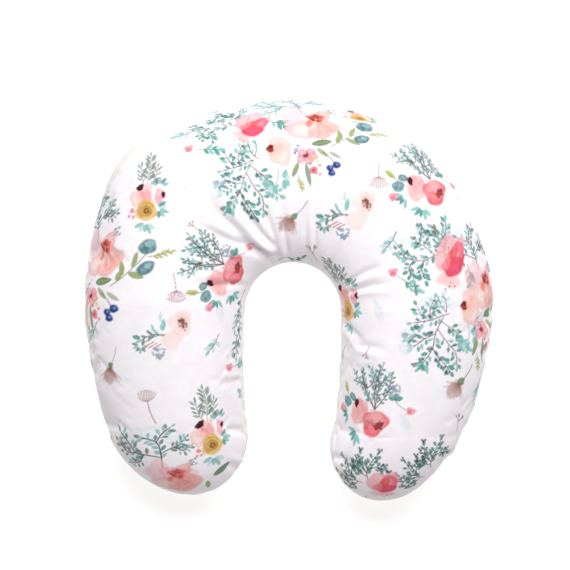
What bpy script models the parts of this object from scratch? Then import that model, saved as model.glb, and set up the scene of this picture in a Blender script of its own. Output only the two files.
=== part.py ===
"""A U-shaped nursing pillow: a zipped slipcover of two panels over a fibre-filled inner pillow.

The pillow lies flat on z = 0, with the round back of the U towards +Y and its two arms towards -Y.
The two halves of every casing meet at a seam that runs round the pillow at mid height.
"""

import math

import bmesh
import bpy
from mathutils import Vector

# Plan of the pillow, in metres. The back of the U is two circular arcs, the arms taper and lean in.
# The filling has settled unevenly: the back bulges at its left, and the gap lies right of the middle.
BACK_RADIUS = 0.2675
BACK_CENTRE_Y = -0.008
BULGE = 0.0225
BULGE_ANGLE = 138.0
BULGE_REACH = 31.0
WAIST_RADIUS = 0.0605
WAIST_CENTRE_X = 0.007
WAIST_CENTRE_Y = -0.014
TIP_CENTRE_Y = -0.1675
ARM_OUTER_DRAW_IN = 0.033
ARM_INNER_DRAW_IN = 0.002
TIP_STRETCH = {"right": 0.003, "left": -0.004}
TIP_SKEW = {"right": 0.015, "left": 0.010}

# Heights.
BACK_HEIGHT = 0.165
TIP_HEIGHT = 0.150
SEAM_HEIGHT = 0.080
FLOOR_SINK = 0.006
PLUMPNESS = 2.25
SEAM_GROOVE = 0.0045
SEAM_GROOVE_SPREAD = 0.011

# Layers: how far each one lies inside the pillow's outside.
COVER_THICKNESS = 0.0012
CASING_INSET = 0.0092
CASING_TOP_INSET = 0.003
CASING_FLOOR = 0.004
CASING_THICKNESS = 0.001
FILL_GAP = 0.0008
COVER_RIM_GAP = 0.0007
CASING_RIM_GAP = 0.0004
LABEL_THICKNESS = 0.0005

# Zip, along the outer seam. Angles are in degrees about the centre of the back, from +X.
ZIP_CLOSED_ANGLE = 99.0
ZIP_OPEN_ANGLE = 40.0
ZIP_MOUTH_ANGLES = (ZIP_OPEN_ANGLE - 5.0, ZIP_CLOSED_ANGLE + 4.0)
TAPE_ANGLES = (ZIP_OPEN_ANGLE - 6.5, ZIP_CLOSED_ANGLE + 5.5)
COIL_ANGLES = (ZIP_OPEN_ANGLE - 1.5, ZIP_CLOSED_ANGLE + 1.6)
TOP_STOP_ANGLES = (ZIP_CLOSED_ANGLE + 2.0, ZIP_CLOSED_ANGLE + 2.7)
BOTTOM_STOP_ANGLES = (ZIP_OPEN_ANGLE - 3.0, ZIP_OPEN_ANGLE - 1.8)
ZIP_MOUTH_HALF_HEIGHT = 0.0065
TAPE_DEPTH = 0.0060
TAPE_THICKNESS = 0.0006
TAPE_SPAN = (0.0010, 0.0120)
COIL_SPAN = (0.0008, 0.0028)
COIL_THICKNESS = 0.0018
CLEARANCE = 0.0004
SAME_PLACE = 1e-6

# Slider and pull tab.
SLIDER_LENGTH = 0.011
SLIDER_HALF_HEIGHT = 0.0042
SLIDER_PLATE = 0.0012
FLANGE_THICKNESS = 0.0009
WEDGE_HALF_HEIGHT = 0.0004
WEDGE_LENGTH = 0.0022
BRIDGE_HALF_LENGTH = 0.0042
BRIDGE_FOOT_LENGTH = 0.0012
BRIDGE_HALF_WIDTH = 0.0010
BRIDGE_OPENING = 0.0022
BRIDGE_BAR = 0.0009
PIN_RADIUS = 0.0005
PULL_THICKNESS = 0.0011
PULL_LENGTH = 0.024
PULL_HALF_WIDTH = 0.0029
PULL_NECK = 0.0049
PULL_FORK_INNER = 0.0014
PULL_FORK_STEP = 0.0003
PULL_FORK_OVERLAP = 0.001
PIN_OVERLAP = 0.0005

# Labels: widths along the seam in degrees, and lengths in metres.
SIDE_TAG_ANGLE = 111.0
SIDE_TAG_WIDTH = 0.013
SIDE_TAG_REACH = (-0.008, 0.014)
SIDE_TAG_THICKNESS = 0.0004
CARE_LABEL_ANGLES = (58.0, 64.0)
CASING_LABEL_ANGLES = (74.0, 82.0)
LABEL_ROW_RANGE = (0.58, 0.90)
LABEL_STEPS = 4
CARE_LABEL_INSETS = (0.0042, 0.0022)
CASING_LABEL_LIFTS = (0.0011, 0.0008)

# Fineness of the meshes.
COVER_STEPS = {"back": 30, "arm": 5, "tip": 10}
CASING_STEPS = {"back": 18, "arm": 3, "tip": 6}
UPPER_ROWS = (0, 0.2, 0.38, 0.54, 0.70, 0.86, 1)
LOWER_ROWS = (0, 0.2533, 0.42, 0.57, 0.72, 0.87, 1)
CASING_UPPER_ROWS = (0, 0.24, 0.46, 0.66, 0.84, 1)
CASING_LOWER_ROWS = (0, 0.2533, 0.46, 0.66, 0.84, 1)
ZIP_STEP = 3.0
SHARP_ANGLE = 50.0


def clear_scene():
    for obj in list(bpy.data.objects):
        bpy.data.objects.remove(obj, do_unlink=True)


def material(name, colour, roughness, metallic=0.0):
    made = bpy.data.materials.new(name)
    made.use_nodes = True
    shader = made.node_tree.nodes["Principled BSDF"]
    shader.inputs["Base Color"].default_value = (*colour, 1)
    shader.inputs["Roughness"].default_value = roughness
    shader.inputs["Metallic"].default_value = metallic
    return made


def add_object(name, mesh_data, surface, location=(0, 0, 0), turn=0.0, smooth=True):
    """One closed body as an object, faces out."""
    bmesh.ops.recalc_face_normals(mesh_data, faces=mesh_data.faces)
    mesh = bpy.data.meshes.new(name)
    mesh_data.to_mesh(mesh)
    mesh_data.free()
    mesh.materials.append(surface)
    if smooth:
        mesh.shade_smooth()
        mesh.set_sharp_from_angle(angle=math.radians(SHARP_ANGLE))
    obj = bpy.data.objects.new(name, mesh)
    obj.location = location
    obj.rotation_euler.z = turn
    bpy.context.scene.collection.objects.link(obj)
    return obj


# --- The plan ---------------------------------------------------------------------------------


def bulge(angle):
    """How far the back swells out beyond its arc at this angle, in radians from +X."""
    near = max(0.0, 1 - abs(math.degrees(angle) - BULGE_ANGLE) / BULGE_REACH)
    return BULGE * near * near * (3 - 2 * near)


def back_pair(angle):
    """The outer and the inner edge of the back at this angle, in radians from +X."""
    way = Vector((math.cos(angle), math.sin(angle)))
    outer = Vector((0, BACK_CENTRE_Y)) + (BACK_RADIUS + bulge(angle)) * way
    inner = Vector((WAIST_CENTRE_X, WAIST_CENTRE_Y)) + WAIST_RADIUS * way
    return outer, inner


def arm_pair(along, side):
    """The outer and the inner edge of an arm, from the back (0) to the middle of the tip (1)."""
    outer_y = BACK_CENTRE_Y + (TIP_CENTRE_Y - BACK_CENTRE_Y) * along
    inner_y = WAIST_CENTRE_Y + (TIP_CENTRE_Y - WAIST_CENTRE_Y) * along
    outer = Vector((side * (BACK_RADIUS - ARM_OUTER_DRAW_IN * along**2), outer_y))
    inner_x = WAIST_CENTRE_X + side * (WAIST_RADIUS - ARM_INNER_DRAW_IN * along**2)
    return outer, Vector((inner_x, inner_y))


def stations(steps):
    """(outer edge, inner edge, crown height) across the pillow, from the right tip to the left one."""
    arms = []
    for side in (1, -1):
        arm = []
        for i in range(1, steps["arm"] + 1):
            along = i / steps["arm"]
            height = BACK_HEIGHT + (TIP_HEIGHT - BACK_HEIGHT) * along
            arm.append((*arm_pair(along, side), height))
        arms.append(arm)
    back = [
        (*back_pair(math.pi * i / steps["back"]), BACK_HEIGHT) for i in range(steps["back"] + 1)
    ]
    right, left = arms
    return right[::-1] + back + left


def tip_edges(centre, half_width, steps, side):
    """The rounded end of an arm, from its outer edge to its inner one. side is 1 right, -1 left."""
    edges = []
    name = "right" if side > 0 else "left"
    stretch, skew = TIP_STRETCH[name], TIP_SKEW[name]
    for i in range(1, steps):
        turn = math.pi * (i / steps - 0.5)
        reach = half_width + stretch * math.cos(turn) ** 2 + skew * math.sin(2 * turn)
        way = Vector((-side * math.sin(turn), -math.cos(turn)))
        edges.append(centre + reach * way)
    return edges


def ribs(steps):
    """The seam seen from above, anticlockwise: (edge point, index of its station), and the stations."""
    across = stations(steps)
    last = len(across) - 1
    loop = [(outer, i) for i, (outer, _, _) in enumerate(across)]
    for end, side in ((last, -1), (0, 1)):
        outer, inner, _ = across[end]
        fan = tip_edges((outer + inner) / 2, (outer - inner).length / 2, steps["tip"], side)
        if side < 0:
            loop += [(edge, end) for edge in fan]
            loop += [(across[i][1], i) for i in range(last, -1, -1)]
        else:
            loop += [(edge, end) for edge in reversed(fan)]
    return loop, across


def in_zip_mouth(edge):
    """Whether this seam point lies where the panels part to show the zip."""
    way = edge - Vector((0, BACK_CENTRE_Y))
    on_back = abs(way.length - BACK_RADIUS) < SAME_PLACE
    low, high = ZIP_MOUTH_ANGLES
    return on_back and low < math.degrees(math.atan2(way.y, way.x)) < high


# --- The cross-section ------------------------------------------------------------------------


def rim_row(rise, rim):
    """The row at which a quarter section of this rise has come down to rim above the seam."""
    return math.acos(min(1.0, (rim / rise) ** (PLUMPNESS / 2))) / (math.pi / 2)


def section_point(edge, spine, row, rise, side_inset, floor=None):
    """A point of a plump quarter section: row 0 is the crown, row 1 the seam."""
    angle = row * math.pi / 2
    reach = (edge - spine).length - side_inset
    height = abs(rise) * math.cos(angle) ** (2 / PLUMPNESS) if row < 1 else 0.0
    out = reach * math.sin(angle) ** (2 / PLUMPNESS)
    out -= SEAM_GROOVE * math.exp(-((height / SEAM_GROOVE_SPREAD) ** 2)) * row
    place = spine + (edge - spine).normalized() * out
    z = SEAM_HEIGHT + math.copysign(height, rise)
    if floor is not None:
        z = max(z, floor)
    return Vector((place.x, place.y, z))


class Layer:
    """One surface of a casing: its upper or lower half, at a depth inside the pillow's outside."""

    def __init__(self, upper, side_inset, height_inset, rim, mouth_rim=None):
        self.upper = upper
        self.side_inset = side_inset
        self.height_inset = height_inset
        self.rim = rim
        self.mouth_rim = rim if mouth_rim is None else mouth_rim

    def rise(self, crown):
        if self.upper:
            return crown - self.height_inset - SEAM_HEIGHT
        return -(SEAM_HEIGHT + FLOOR_SINK - self.height_inset)

    def point(self, edge, spine, crown, row):
        """A point of the layer, with row running from the crown (0) to the layer's rim (1)."""
        rise = self.rise(crown)
        rim = self.mouth_rim if in_zip_mouth(edge) else self.rim
        row *= rim_row(abs(rise), rim)
        floor = None if self.upper else self.height_inset
        return section_point(edge, spine, row, rise, self.side_inset, floor)


def add_layer(mesh_data, layer, steps, rows):
    """Adds a layer's faces, and returns its rim as a loop of vertices."""
    loop, across = ribs(steps)
    spines = [(outer + inner) / 2 for outer, inner, _ in across]
    crowns = []
    for (outer, _, crown), spine in zip(across, spines):
        crowns.append(mesh_data.verts.new(layer.point(outer, spine, crown, 0)))
    columns = []
    for edge, station in loop:
        crown = across[station][2]
        column = [crowns[station]]
        for row in rows[1:]:
            column.append(mesh_data.verts.new(layer.point(edge, spines[station], crown, row)))
        columns.append(column)
    for here, there in zip(columns, columns[1:] + columns[:1]):
        for i in range(len(rows) - 1):
            corners = [here[i], here[i + 1], there[i + 1], there[i]]
            mesh_data.faces.new(corners[:3] if here[i] is there[i] else corners)
    return [column[-1] for column in columns]


def bridge(mesh_data, first, second):
    """Joins two loops of vertices of the same length with a band of faces."""
    for i in range(len(first)):
        j = (i + 1) % len(first)
        mesh_data.faces.new([first[i], first[j], second[j], second[i]])


# --- Casings and filling ----------------------------------------------------------------------


def shell(name, surface, upper, side_inset, height_inset, thickness, rim, mouth_rim, steps, rows):
    """Half a casing: a thin dome of fabric, open at the seam."""
    mesh_data = bmesh.new()
    rims = []
    for depth in (0, thickness):
        layer = Layer(upper, side_inset + depth, height_inset + depth, rim, mouth_rim)
        rims.append(add_layer(mesh_data, layer, steps, rows))
    bridge(mesh_data, *rims)
    return add_object(name, mesh_data, surface)


def cover_panels():
    print_cotton = material("printed_cotton", (0.80, 0.73, 0.70), 0.85)
    plain_cotton = material("plain_cotton", (0.84, 0.80, 0.74), 0.85)
    mouth = ZIP_MOUTH_HALF_HEIGHT
    for name, surface, upper, rows in (
        ("cover_top_panel", print_cotton, True, UPPER_ROWS),
        ("cover_bottom_panel", plain_cotton, False, LOWER_ROWS),
    ):
        shell(
            name, surface, upper, 0, 0, COVER_THICKNESS, COVER_RIM_GAP, mouth, COVER_STEPS, rows
        )


def inner_casings():
    ticking = material("ticking", (0.86, 0.86, 0.86), 0.9)
    for name, upper, depth, rows in (
        ("inner_casing_top", True, CASING_TOP_INSET, CASING_UPPER_ROWS),
        ("inner_casing_bottom", False, CASING_FLOOR, CASING_LOWER_ROWS),
    ):
        shell(
            name,
            ticking,
            upper,
            CASING_INSET,
            depth,
            CASING_THICKNESS,
            CASING_RIM_GAP,
            CASING_RIM_GAP,
            CASING_STEPS,
            rows,
        )


def fibre_fill():
    mesh_data = bmesh.new()
    inset = CASING_INSET + CASING_THICKNESS + FILL_GAP
    rims = []
    for upper, depth, rows in (
        (True, CASING_TOP_INSET, CASING_UPPER_ROWS),
        (False, CASING_FLOOR, CASING_LOWER_ROWS),
    ):
        layer = Layer(upper, inset, depth + CASING_THICKNESS + FILL_GAP, CASING_RIM_GAP)
        rims.append(add_layer(mesh_data, layer, CASING_STEPS, rows))
    bridge(mesh_data, *rims)
    return add_object("fibre_fill", mesh_data, material("polyester_fibre", (0.9, 0.9, 0.9), 1.0))


# --- Strips that follow the round back --------------------------------------------------------


def polar(radius, angle, z):
    """A point about the centre of the back, with its angle in degrees."""
    turn = math.radians(angle)
    return Vector((radius * math.cos(turn), BACK_CENTRE_Y + radius * math.sin(turn), z))


def arc_strip(name, surface, angles, radii, heights):
    """A strip of rectangular section, bent round the back."""
    low, high = angles
    count = max(2, math.ceil((high - low) / ZIP_STEP))
    mesh_data = bmesh.new()
    loops = []
    for i in range(count + 1):
        angle = low + (high - low) * i / count
        corners = (
            (radii[0], heights[0]),
            (radii[1], heights[0]),
            (radii[1], heights[1]),
            (radii[0], heights[1]),
        )
        loops.append([mesh_data.verts.new(polar(radius, angle, z)) for radius, z in corners])
    for here, there in zip(loops, loops[1:]):
        bridge(mesh_data, here, there)
    mesh_data.faces.new(loops[0])
    mesh_data.faces.new(loops[-1])
    return add_object(name, mesh_data, surface)


def zip_strips():
    tape_cloth = material("zip_tape", (0.85, 0.84, 0.82), 0.8)
    nylon = material("zip_nylon", (0.88, 0.87, 0.85), 0.35)
    tape_radii = (BACK_RADIUS - TAPE_DEPTH - TAPE_THICKNESS, BACK_RADIUS - TAPE_DEPTH)
    coil_foot = BACK_RADIUS - TAPE_DEPTH + COVER_RIM_GAP / 2
    coil_radii = (coil_foot, coil_foot + COIL_THICKNESS - COVER_RIM_GAP / 2)
    for side, sign in (("upper", 1), ("lower", -1)):
        tape = [SEAM_HEIGHT + sign * reach for reach in TAPE_SPAN]
        coil = [SEAM_HEIGHT + sign * reach for reach in COIL_SPAN]
        arc_strip(f"zipper_tape_{side}", tape_cloth, TAPE_ANGLES, tape_radii, tape)
        arc_strip(f"zipper_coil_{side}", nylon, COIL_ANGLES, coil_radii, coil)
        arc_strip(f"zipper_top_stop_{side}", nylon, TOP_STOP_ANGLES, coil_radii, coil)
    ends = (SEAM_HEIGHT - COIL_SPAN[1], SEAM_HEIGHT + COIL_SPAN[1])
    arc_strip("zipper_bottom_stop", nylon, BOTTOM_STOP_ANGLES, coil_radii, ends)


# --- Slider and pull tab ----------------------------------------------------------------------


def add_block(mesh_data, low, high):
    """A block between two corners."""
    made = bmesh.ops.create_cube(mesh_data, size=1)["verts"]
    middle = (Vector(low) + Vector(high)) / 2
    size = Vector(high) - Vector(low)
    for vert in made:
        vert.co = Vector([middle[i] + vert.co[i] * size[i] for i in range(3)])


def block_tool(name, low, high):
    """A hidden block that a Boolean joins to a body or cuts from it."""
    mesh_data = bmesh.new()
    add_block(mesh_data, low, high)
    tool = add_object(name, mesh_data, material(name, (0.8, 0.8, 0.8), 0.5), smooth=False)
    tool.hide_render = True
    tool.display_type = "WIRE"
    return tool


def join_block(obj, name, low, high, operation="UNION"):
    tool = block_tool(f"{obj.name}_{name}", low, high)
    tool.parent = obj
    change = obj.modifiers.new(name, "BOOLEAN")
    change.operation = operation
    change.solver = "EXACT"
    change.object = tool


def slider_radii():
    """Depths of the slider's plates, as radii about the centre of the back."""
    coil_top = BACK_RADIUS - TAPE_DEPTH + COIL_THICKNESS
    outer_low = coil_top + CLEARANCE
    inner_high = BACK_RADIUS - TAPE_DEPTH - TAPE_THICKNESS - CLEARANCE
    return outer_low, outer_low + SLIDER_PLATE, inner_high - SLIDER_PLATE, inner_high


def pin_radius_place():
    return slider_radii()[1] + BRIDGE_OPENING / 2


def zip_slider(enamel):
    """The slider at its closed end: two plates, a wedge between them, and a bridge for the pull tab.

    In the slider's own axes X runs outwards, Y along the zip and Z up; the origin is the joint's axis.
    """
    outer_low, outer_high, inner_low, inner_high = slider_radii()
    half = SLIDER_LENGTH / 2
    tall = SLIDER_HALF_HEIGHT
    mesh_data = bmesh.new()
    add_block(mesh_data, (outer_low, -half, -tall), (outer_high, half, tall))
    slider = add_object(
        "zipper_slider",
        mesh_data,
        enamel,
        (0, BACK_CENTRE_Y, SEAM_HEIGHT),
        math.radians(ZIP_CLOSED_ANGLE),
        smooth=False,
    )
    sink = SLIDER_PLATE / 2
    flange_low = BACK_RADIUS - TAPE_DEPTH + CLEARANCE
    for name, sign in (("upper_flange", 1), ("lower_flange", -1)):
        near, far = sorted((sign * (tall - FLANGE_THICKNESS), sign * tall))
        low = (flange_low, -half + CLEARANCE, near)
        join_block(slider, name, low, (outer_low + sink, half - CLEARANCE, far))
    join_block(
        slider,
        "wedge",
        (inner_high - sink, half - WEDGE_LENGTH, -WEDGE_HALF_HEIGHT),
        (outer_low + sink, half - CLEARANCE, WEDGE_HALF_HEIGHT),
    )
    join_block(
        slider, "inner_plate", (inner_low, -half, -tall), (inner_high, half, tall)
    )
    bar_low = outer_high + BRIDGE_OPENING
    for name, start in (("rear_foot", -BRIDGE_HALF_LENGTH), ("front_foot", BRIDGE_HALF_LENGTH)):
        end = start - math.copysign(BRIDGE_FOOT_LENGTH, start)
        near, far = sorted((start, end))
        join_block(
            slider,
            name,
            (outer_high - sink, near, -BRIDGE_HALF_WIDTH),
            (bar_low + BRIDGE_BAR / 2, far, BRIDGE_HALF_WIDTH),
        )
    join_block(
        slider,
        "bar",
        (bar_low, -BRIDGE_HALF_LENGTH, -BRIDGE_HALF_WIDTH),
        (bar_low + BRIDGE_BAR, BRIDGE_HALF_LENGTH, BRIDGE_HALF_WIDTH),
    )
    return slider


def pull_tab(enamel):
    """The pull tab, lying back along the closed zip. Its origin is on the pin under the bridge."""
    turn = math.radians(ZIP_CLOSED_ANGLE)
    pin = polar(pin_radius_place(), ZIP_CLOSED_ANGLE, SEAM_HEIGHT)
    thick = PULL_THICKNESS / 2
    mesh_data = bmesh.new()
    add_block(
        mesh_data,
        (-thick, -PULL_LENGTH, -PULL_HALF_WIDTH),
        (thick, -PULL_NECK, PULL_HALF_WIDTH),
    )
    tab = add_object("zipper_pull_tab", mesh_data, enamel, pin, turn, smooth=False)
    for name, sign in (("upper_arm", 1), ("lower_arm", -1)):
        near, far = sorted((sign * PULL_FORK_INNER, sign * (PULL_HALF_WIDTH - PULL_FORK_STEP)))
        foot = -PULL_NECK - PULL_FORK_OVERLAP
        join_block(tab, name, (-thick, foot, near), (thick, PIN_RADIUS, far))
    pin_half = PULL_FORK_INNER + PIN_OVERLAP
    join_block(
        tab, "pin", (-PIN_RADIUS, -PIN_RADIUS, -pin_half), (PIN_RADIUS, PIN_RADIUS, pin_half)
    )
    return tab


# --- Labels -----------------------------------------------------------------------------------


def side_tag():
    """A blank satin tag, caught in the outer seam and folded double at its free end."""
    satin = material("label_satin", (0.88, 0.86, 0.82), 0.35)
    low, high = (BACK_RADIUS + reach for reach in SIDE_TAG_REACH)
    half = SIDE_TAG_WIDTH / 2
    mesh_data = bmesh.new()
    add_block(mesh_data, (low, -half, -SIDE_TAG_THICKNESS), (high, half, SIDE_TAG_THICKNESS))
    place = (0, BACK_CENTRE_Y, SEAM_HEIGHT)
    turn = math.radians(SIDE_TAG_ANGLE)
    add_object("cover_side_tag", mesh_data, satin, place, turn, smooth=False)


def seam_label(name, surface, angles, layer):
    """A thin label that hangs from a seam and follows the curve of the lower half behind it."""
    mesh_data = bmesh.new()
    sheets = []
    for depth in (0, LABEL_THICKNESS):
        inset = Layer(False, layer.side_inset + depth, layer.height_inset + depth, layer.rim)
        grid = []
        for i in range(LABEL_STEPS + 1):
            angle = math.radians(angles[0] + (angles[1] - angles[0]) * i / LABEL_STEPS)
            outer, inner = back_pair(angle)
            spine = (outer + inner) / 2
            line = []
            for j in range(LABEL_STEPS + 1):
                low, high = LABEL_ROW_RANGE
                row = low + (high - low) * j / LABEL_STEPS
                line.append(mesh_data.verts.new(inset.point(outer, spine, BACK_HEIGHT, row)))
            grid.append(line)
        for here, there in zip(grid, grid[1:]):
            for j in range(LABEL_STEPS):
                mesh_data.faces.new([here[j], here[j + 1], there[j + 1], there[j]])
        border = grid[0][:-1] + [line[-1] for line in grid[:-1]]
        border += grid[-1][:0:-1] + [line[0] for line in grid[:0:-1]]
        sheets.append(border)
    bridge(mesh_data, *sheets)
    return add_object(name, mesh_data, surface)


def hidden_labels():
    satin = material("care_label_satin", (0.9, 0.9, 0.9), 0.4)
    paper = material("casing_label_fleece", (0.88, 0.88, 0.88), 0.9)
    side_lift, floor_lift = CASING_LABEL_LIFTS
    behind_cover = Layer(False, *CARE_LABEL_INSETS, CASING_RIM_GAP)
    on_casing = Layer(False, CASING_INSET - side_lift, CASING_FLOOR - floor_lift, CASING_RIM_GAP)
    seam_label("cover_care_label", satin, CARE_LABEL_ANGLES, behind_cover)
    seam_label("inner_casing_label", paper, CASING_LABEL_ANGLES, on_casing)


def main():
    clear_scene()
    cover_panels()
    zip_strips()
    enamel = material("slider_enamel", (0.86, 0.85, 0.83), 0.3, 0.4)
    zip_slider(enamel)
    pull_tab(enamel)
    side_tag()
    hidden_labels()
    inner_casings()
    fibre_fill()


main()
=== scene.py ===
"""The looks of the nursing pillow: a stuffed, zipped slipcover with a watercolour flower print."""

import math

import bpy
import numpy as np
from mathutils import Matrix, Vector


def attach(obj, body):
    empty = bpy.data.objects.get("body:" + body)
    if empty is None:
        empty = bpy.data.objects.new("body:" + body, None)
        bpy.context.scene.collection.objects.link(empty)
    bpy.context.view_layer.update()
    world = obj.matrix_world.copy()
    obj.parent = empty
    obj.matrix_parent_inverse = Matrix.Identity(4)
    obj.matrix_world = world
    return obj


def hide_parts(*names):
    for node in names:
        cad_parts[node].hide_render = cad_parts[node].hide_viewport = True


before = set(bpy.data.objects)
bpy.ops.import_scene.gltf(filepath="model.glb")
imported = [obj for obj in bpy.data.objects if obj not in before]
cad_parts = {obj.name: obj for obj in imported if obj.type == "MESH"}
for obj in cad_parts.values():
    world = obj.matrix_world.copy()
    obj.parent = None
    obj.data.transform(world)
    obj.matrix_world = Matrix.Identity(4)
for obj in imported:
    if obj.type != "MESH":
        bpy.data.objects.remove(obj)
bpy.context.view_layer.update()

# --- Plan and cross-section of the pillow, in metres, as the CAD parts have them ----------------

BACK_RADIUS = 0.2675
BACK_CENTRE = np.array([0.0, -0.008])
BULGE = 0.0225
BULGE_ANGLE = 138.0
BULGE_REACH = 31.0
WAIST_RADIUS = 0.0605
WAIST_CENTRE = np.array([0.007, -0.014])
TIP_CENTRE_Y = -0.1675
ARM_OUTER_DRAW_IN = 0.033
ARM_INNER_DRAW_IN = 0.002
TIP_STRETCH = {"right": 0.003, "left": -0.004}
TIP_SKEW = {"right": 0.015, "left": 0.010}
BACK_HEIGHT = 0.165
TIP_HEIGHT = 0.150
MID_HEIGHT = 0.080
FLOOR_SINK = 0.006
ROUNDNESS = 2 / 2.25
SEAM_GROOVE = 0.0045
SEAM_GROOVE_SPREAD = 0.011

# Columns of the fine cloth: round the back, along an arm and round a tip. A coarse cloth for the
# simulation takes every COARSE-th of them.
BACK_COLUMNS = 600
ARM_COLUMNS = 144
TIP_COLUMNS = 192
TOP_ROWS = 126
BOTTOM_ROWS = 60
COARSE = 6
COARSE_ROWS = 18

# Zip mouth: angles in degrees about the centre of the back, from +X.
MOUTH = (36.5, 102.5)
MOUTH_EASE = 1.8
MOUTH_HALF_HEIGHT = 0.0063
OFF_BACK = -999

# Where the seam rides up: how far in metres, then the middle and reach of the place in degrees.
SEAM_LIFTS = ((0.040, 139, 26), (0.018, 21, 13))

# Simulation of the stuffed cloth. A negative ease lets the cloth grow a little.
CLOTH_EASE = -0.025
CLOTH_SETTINGS = {
    "quality": 5,
    "mass": 0.2,
    "tension_stiffness": 25,
    "compression_stiffness": 25,
    "shear_stiffness": 8,
    "bending_stiffness": 0.15,
    "air_damping": 3,
    "vertex_group_mass": "held",
    "use_pressure": True,
    "uniform_pressure_force": 4,
    "shrink_min": CLOTH_EASE,
}
SIMULATION_FRAMES = 24
MOST_MOVE = 0.007

# The seam: how the cloth turns in there (in and up, in metres), its pinch and its parting.
HEM = (
    (0.0003, -0.0004),
    (0.0010, -0.0006),
    (0.0022, -0.0005),
    (0.0040, -0.0001),
    (0.0058, 0.0004),
)
SEAM_PINCH = 0.0022
SEAM_PINCH_SPREAD = 0.0040
SEAM_GAP = 0.0006
# Puckers along the seam: how high they are and how far they reach.
FINE_PUCKERS = (0.00045, 0.006)
BROAD_PUCKERS = (0.0006, 0.016)
# Creases fade out between these distances from the seam, and all unevenness on the floor.
CREASE_FADE = (0.002, 0.012)
FLOOR_FADE = (0.0, 0.004)
# Painted shade in the groove of the seam: by how much, how far from the edge and how much per
# channel.
SEAM_PAINTED_SHADE = 0.30
SEAM_PAINTED_SHADE_SPREAD = 0.0018
SEAM_PAINTED_SHADE_TINT = (0.94, 0.97, 1.0)


def smooth_step(low, high, value):
    t = np.clip((value - low) / (high - low), 0, 1)
    return t * t * (3 - 2 * t)


def heading(degrees):
    """The unit vector that points that way in a plane."""
    turn = math.radians(degrees)
    return np.array([math.cos(turn), math.sin(turn)])


def unit(vectors):
    """Vectors of length 1, along the last axis. Those of no length stay as they are."""
    return vectors / np.maximum(np.linalg.norm(vectors, axis=-1, keepdims=True), 1e-12)


def grid_ways(grid):
    """Down each column of a cloth, and from column to column round it."""
    return np.gradient(grid, axis=1), np.roll(grid, -1, axis=0) - np.roll(grid, 1, axis=0)


def travelled(points):
    """How far each point lies along the line through them all."""
    return np.concatenate([[0], np.cumsum(np.linalg.norm(np.diff(points, axis=0), axis=1))])


def turned(x, y, degrees):
    """Coordinates in axes that are turned by so many degrees."""
    cosine, sine = heading(degrees)
    return x * cosine + y * sine, y * cosine - x * sine


def hump(value, middle, reach):
    """A smooth hump: 1 at middle, 0 from reach on."""
    return smooth_step(1, 0, np.abs(value - middle) / reach)


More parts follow.
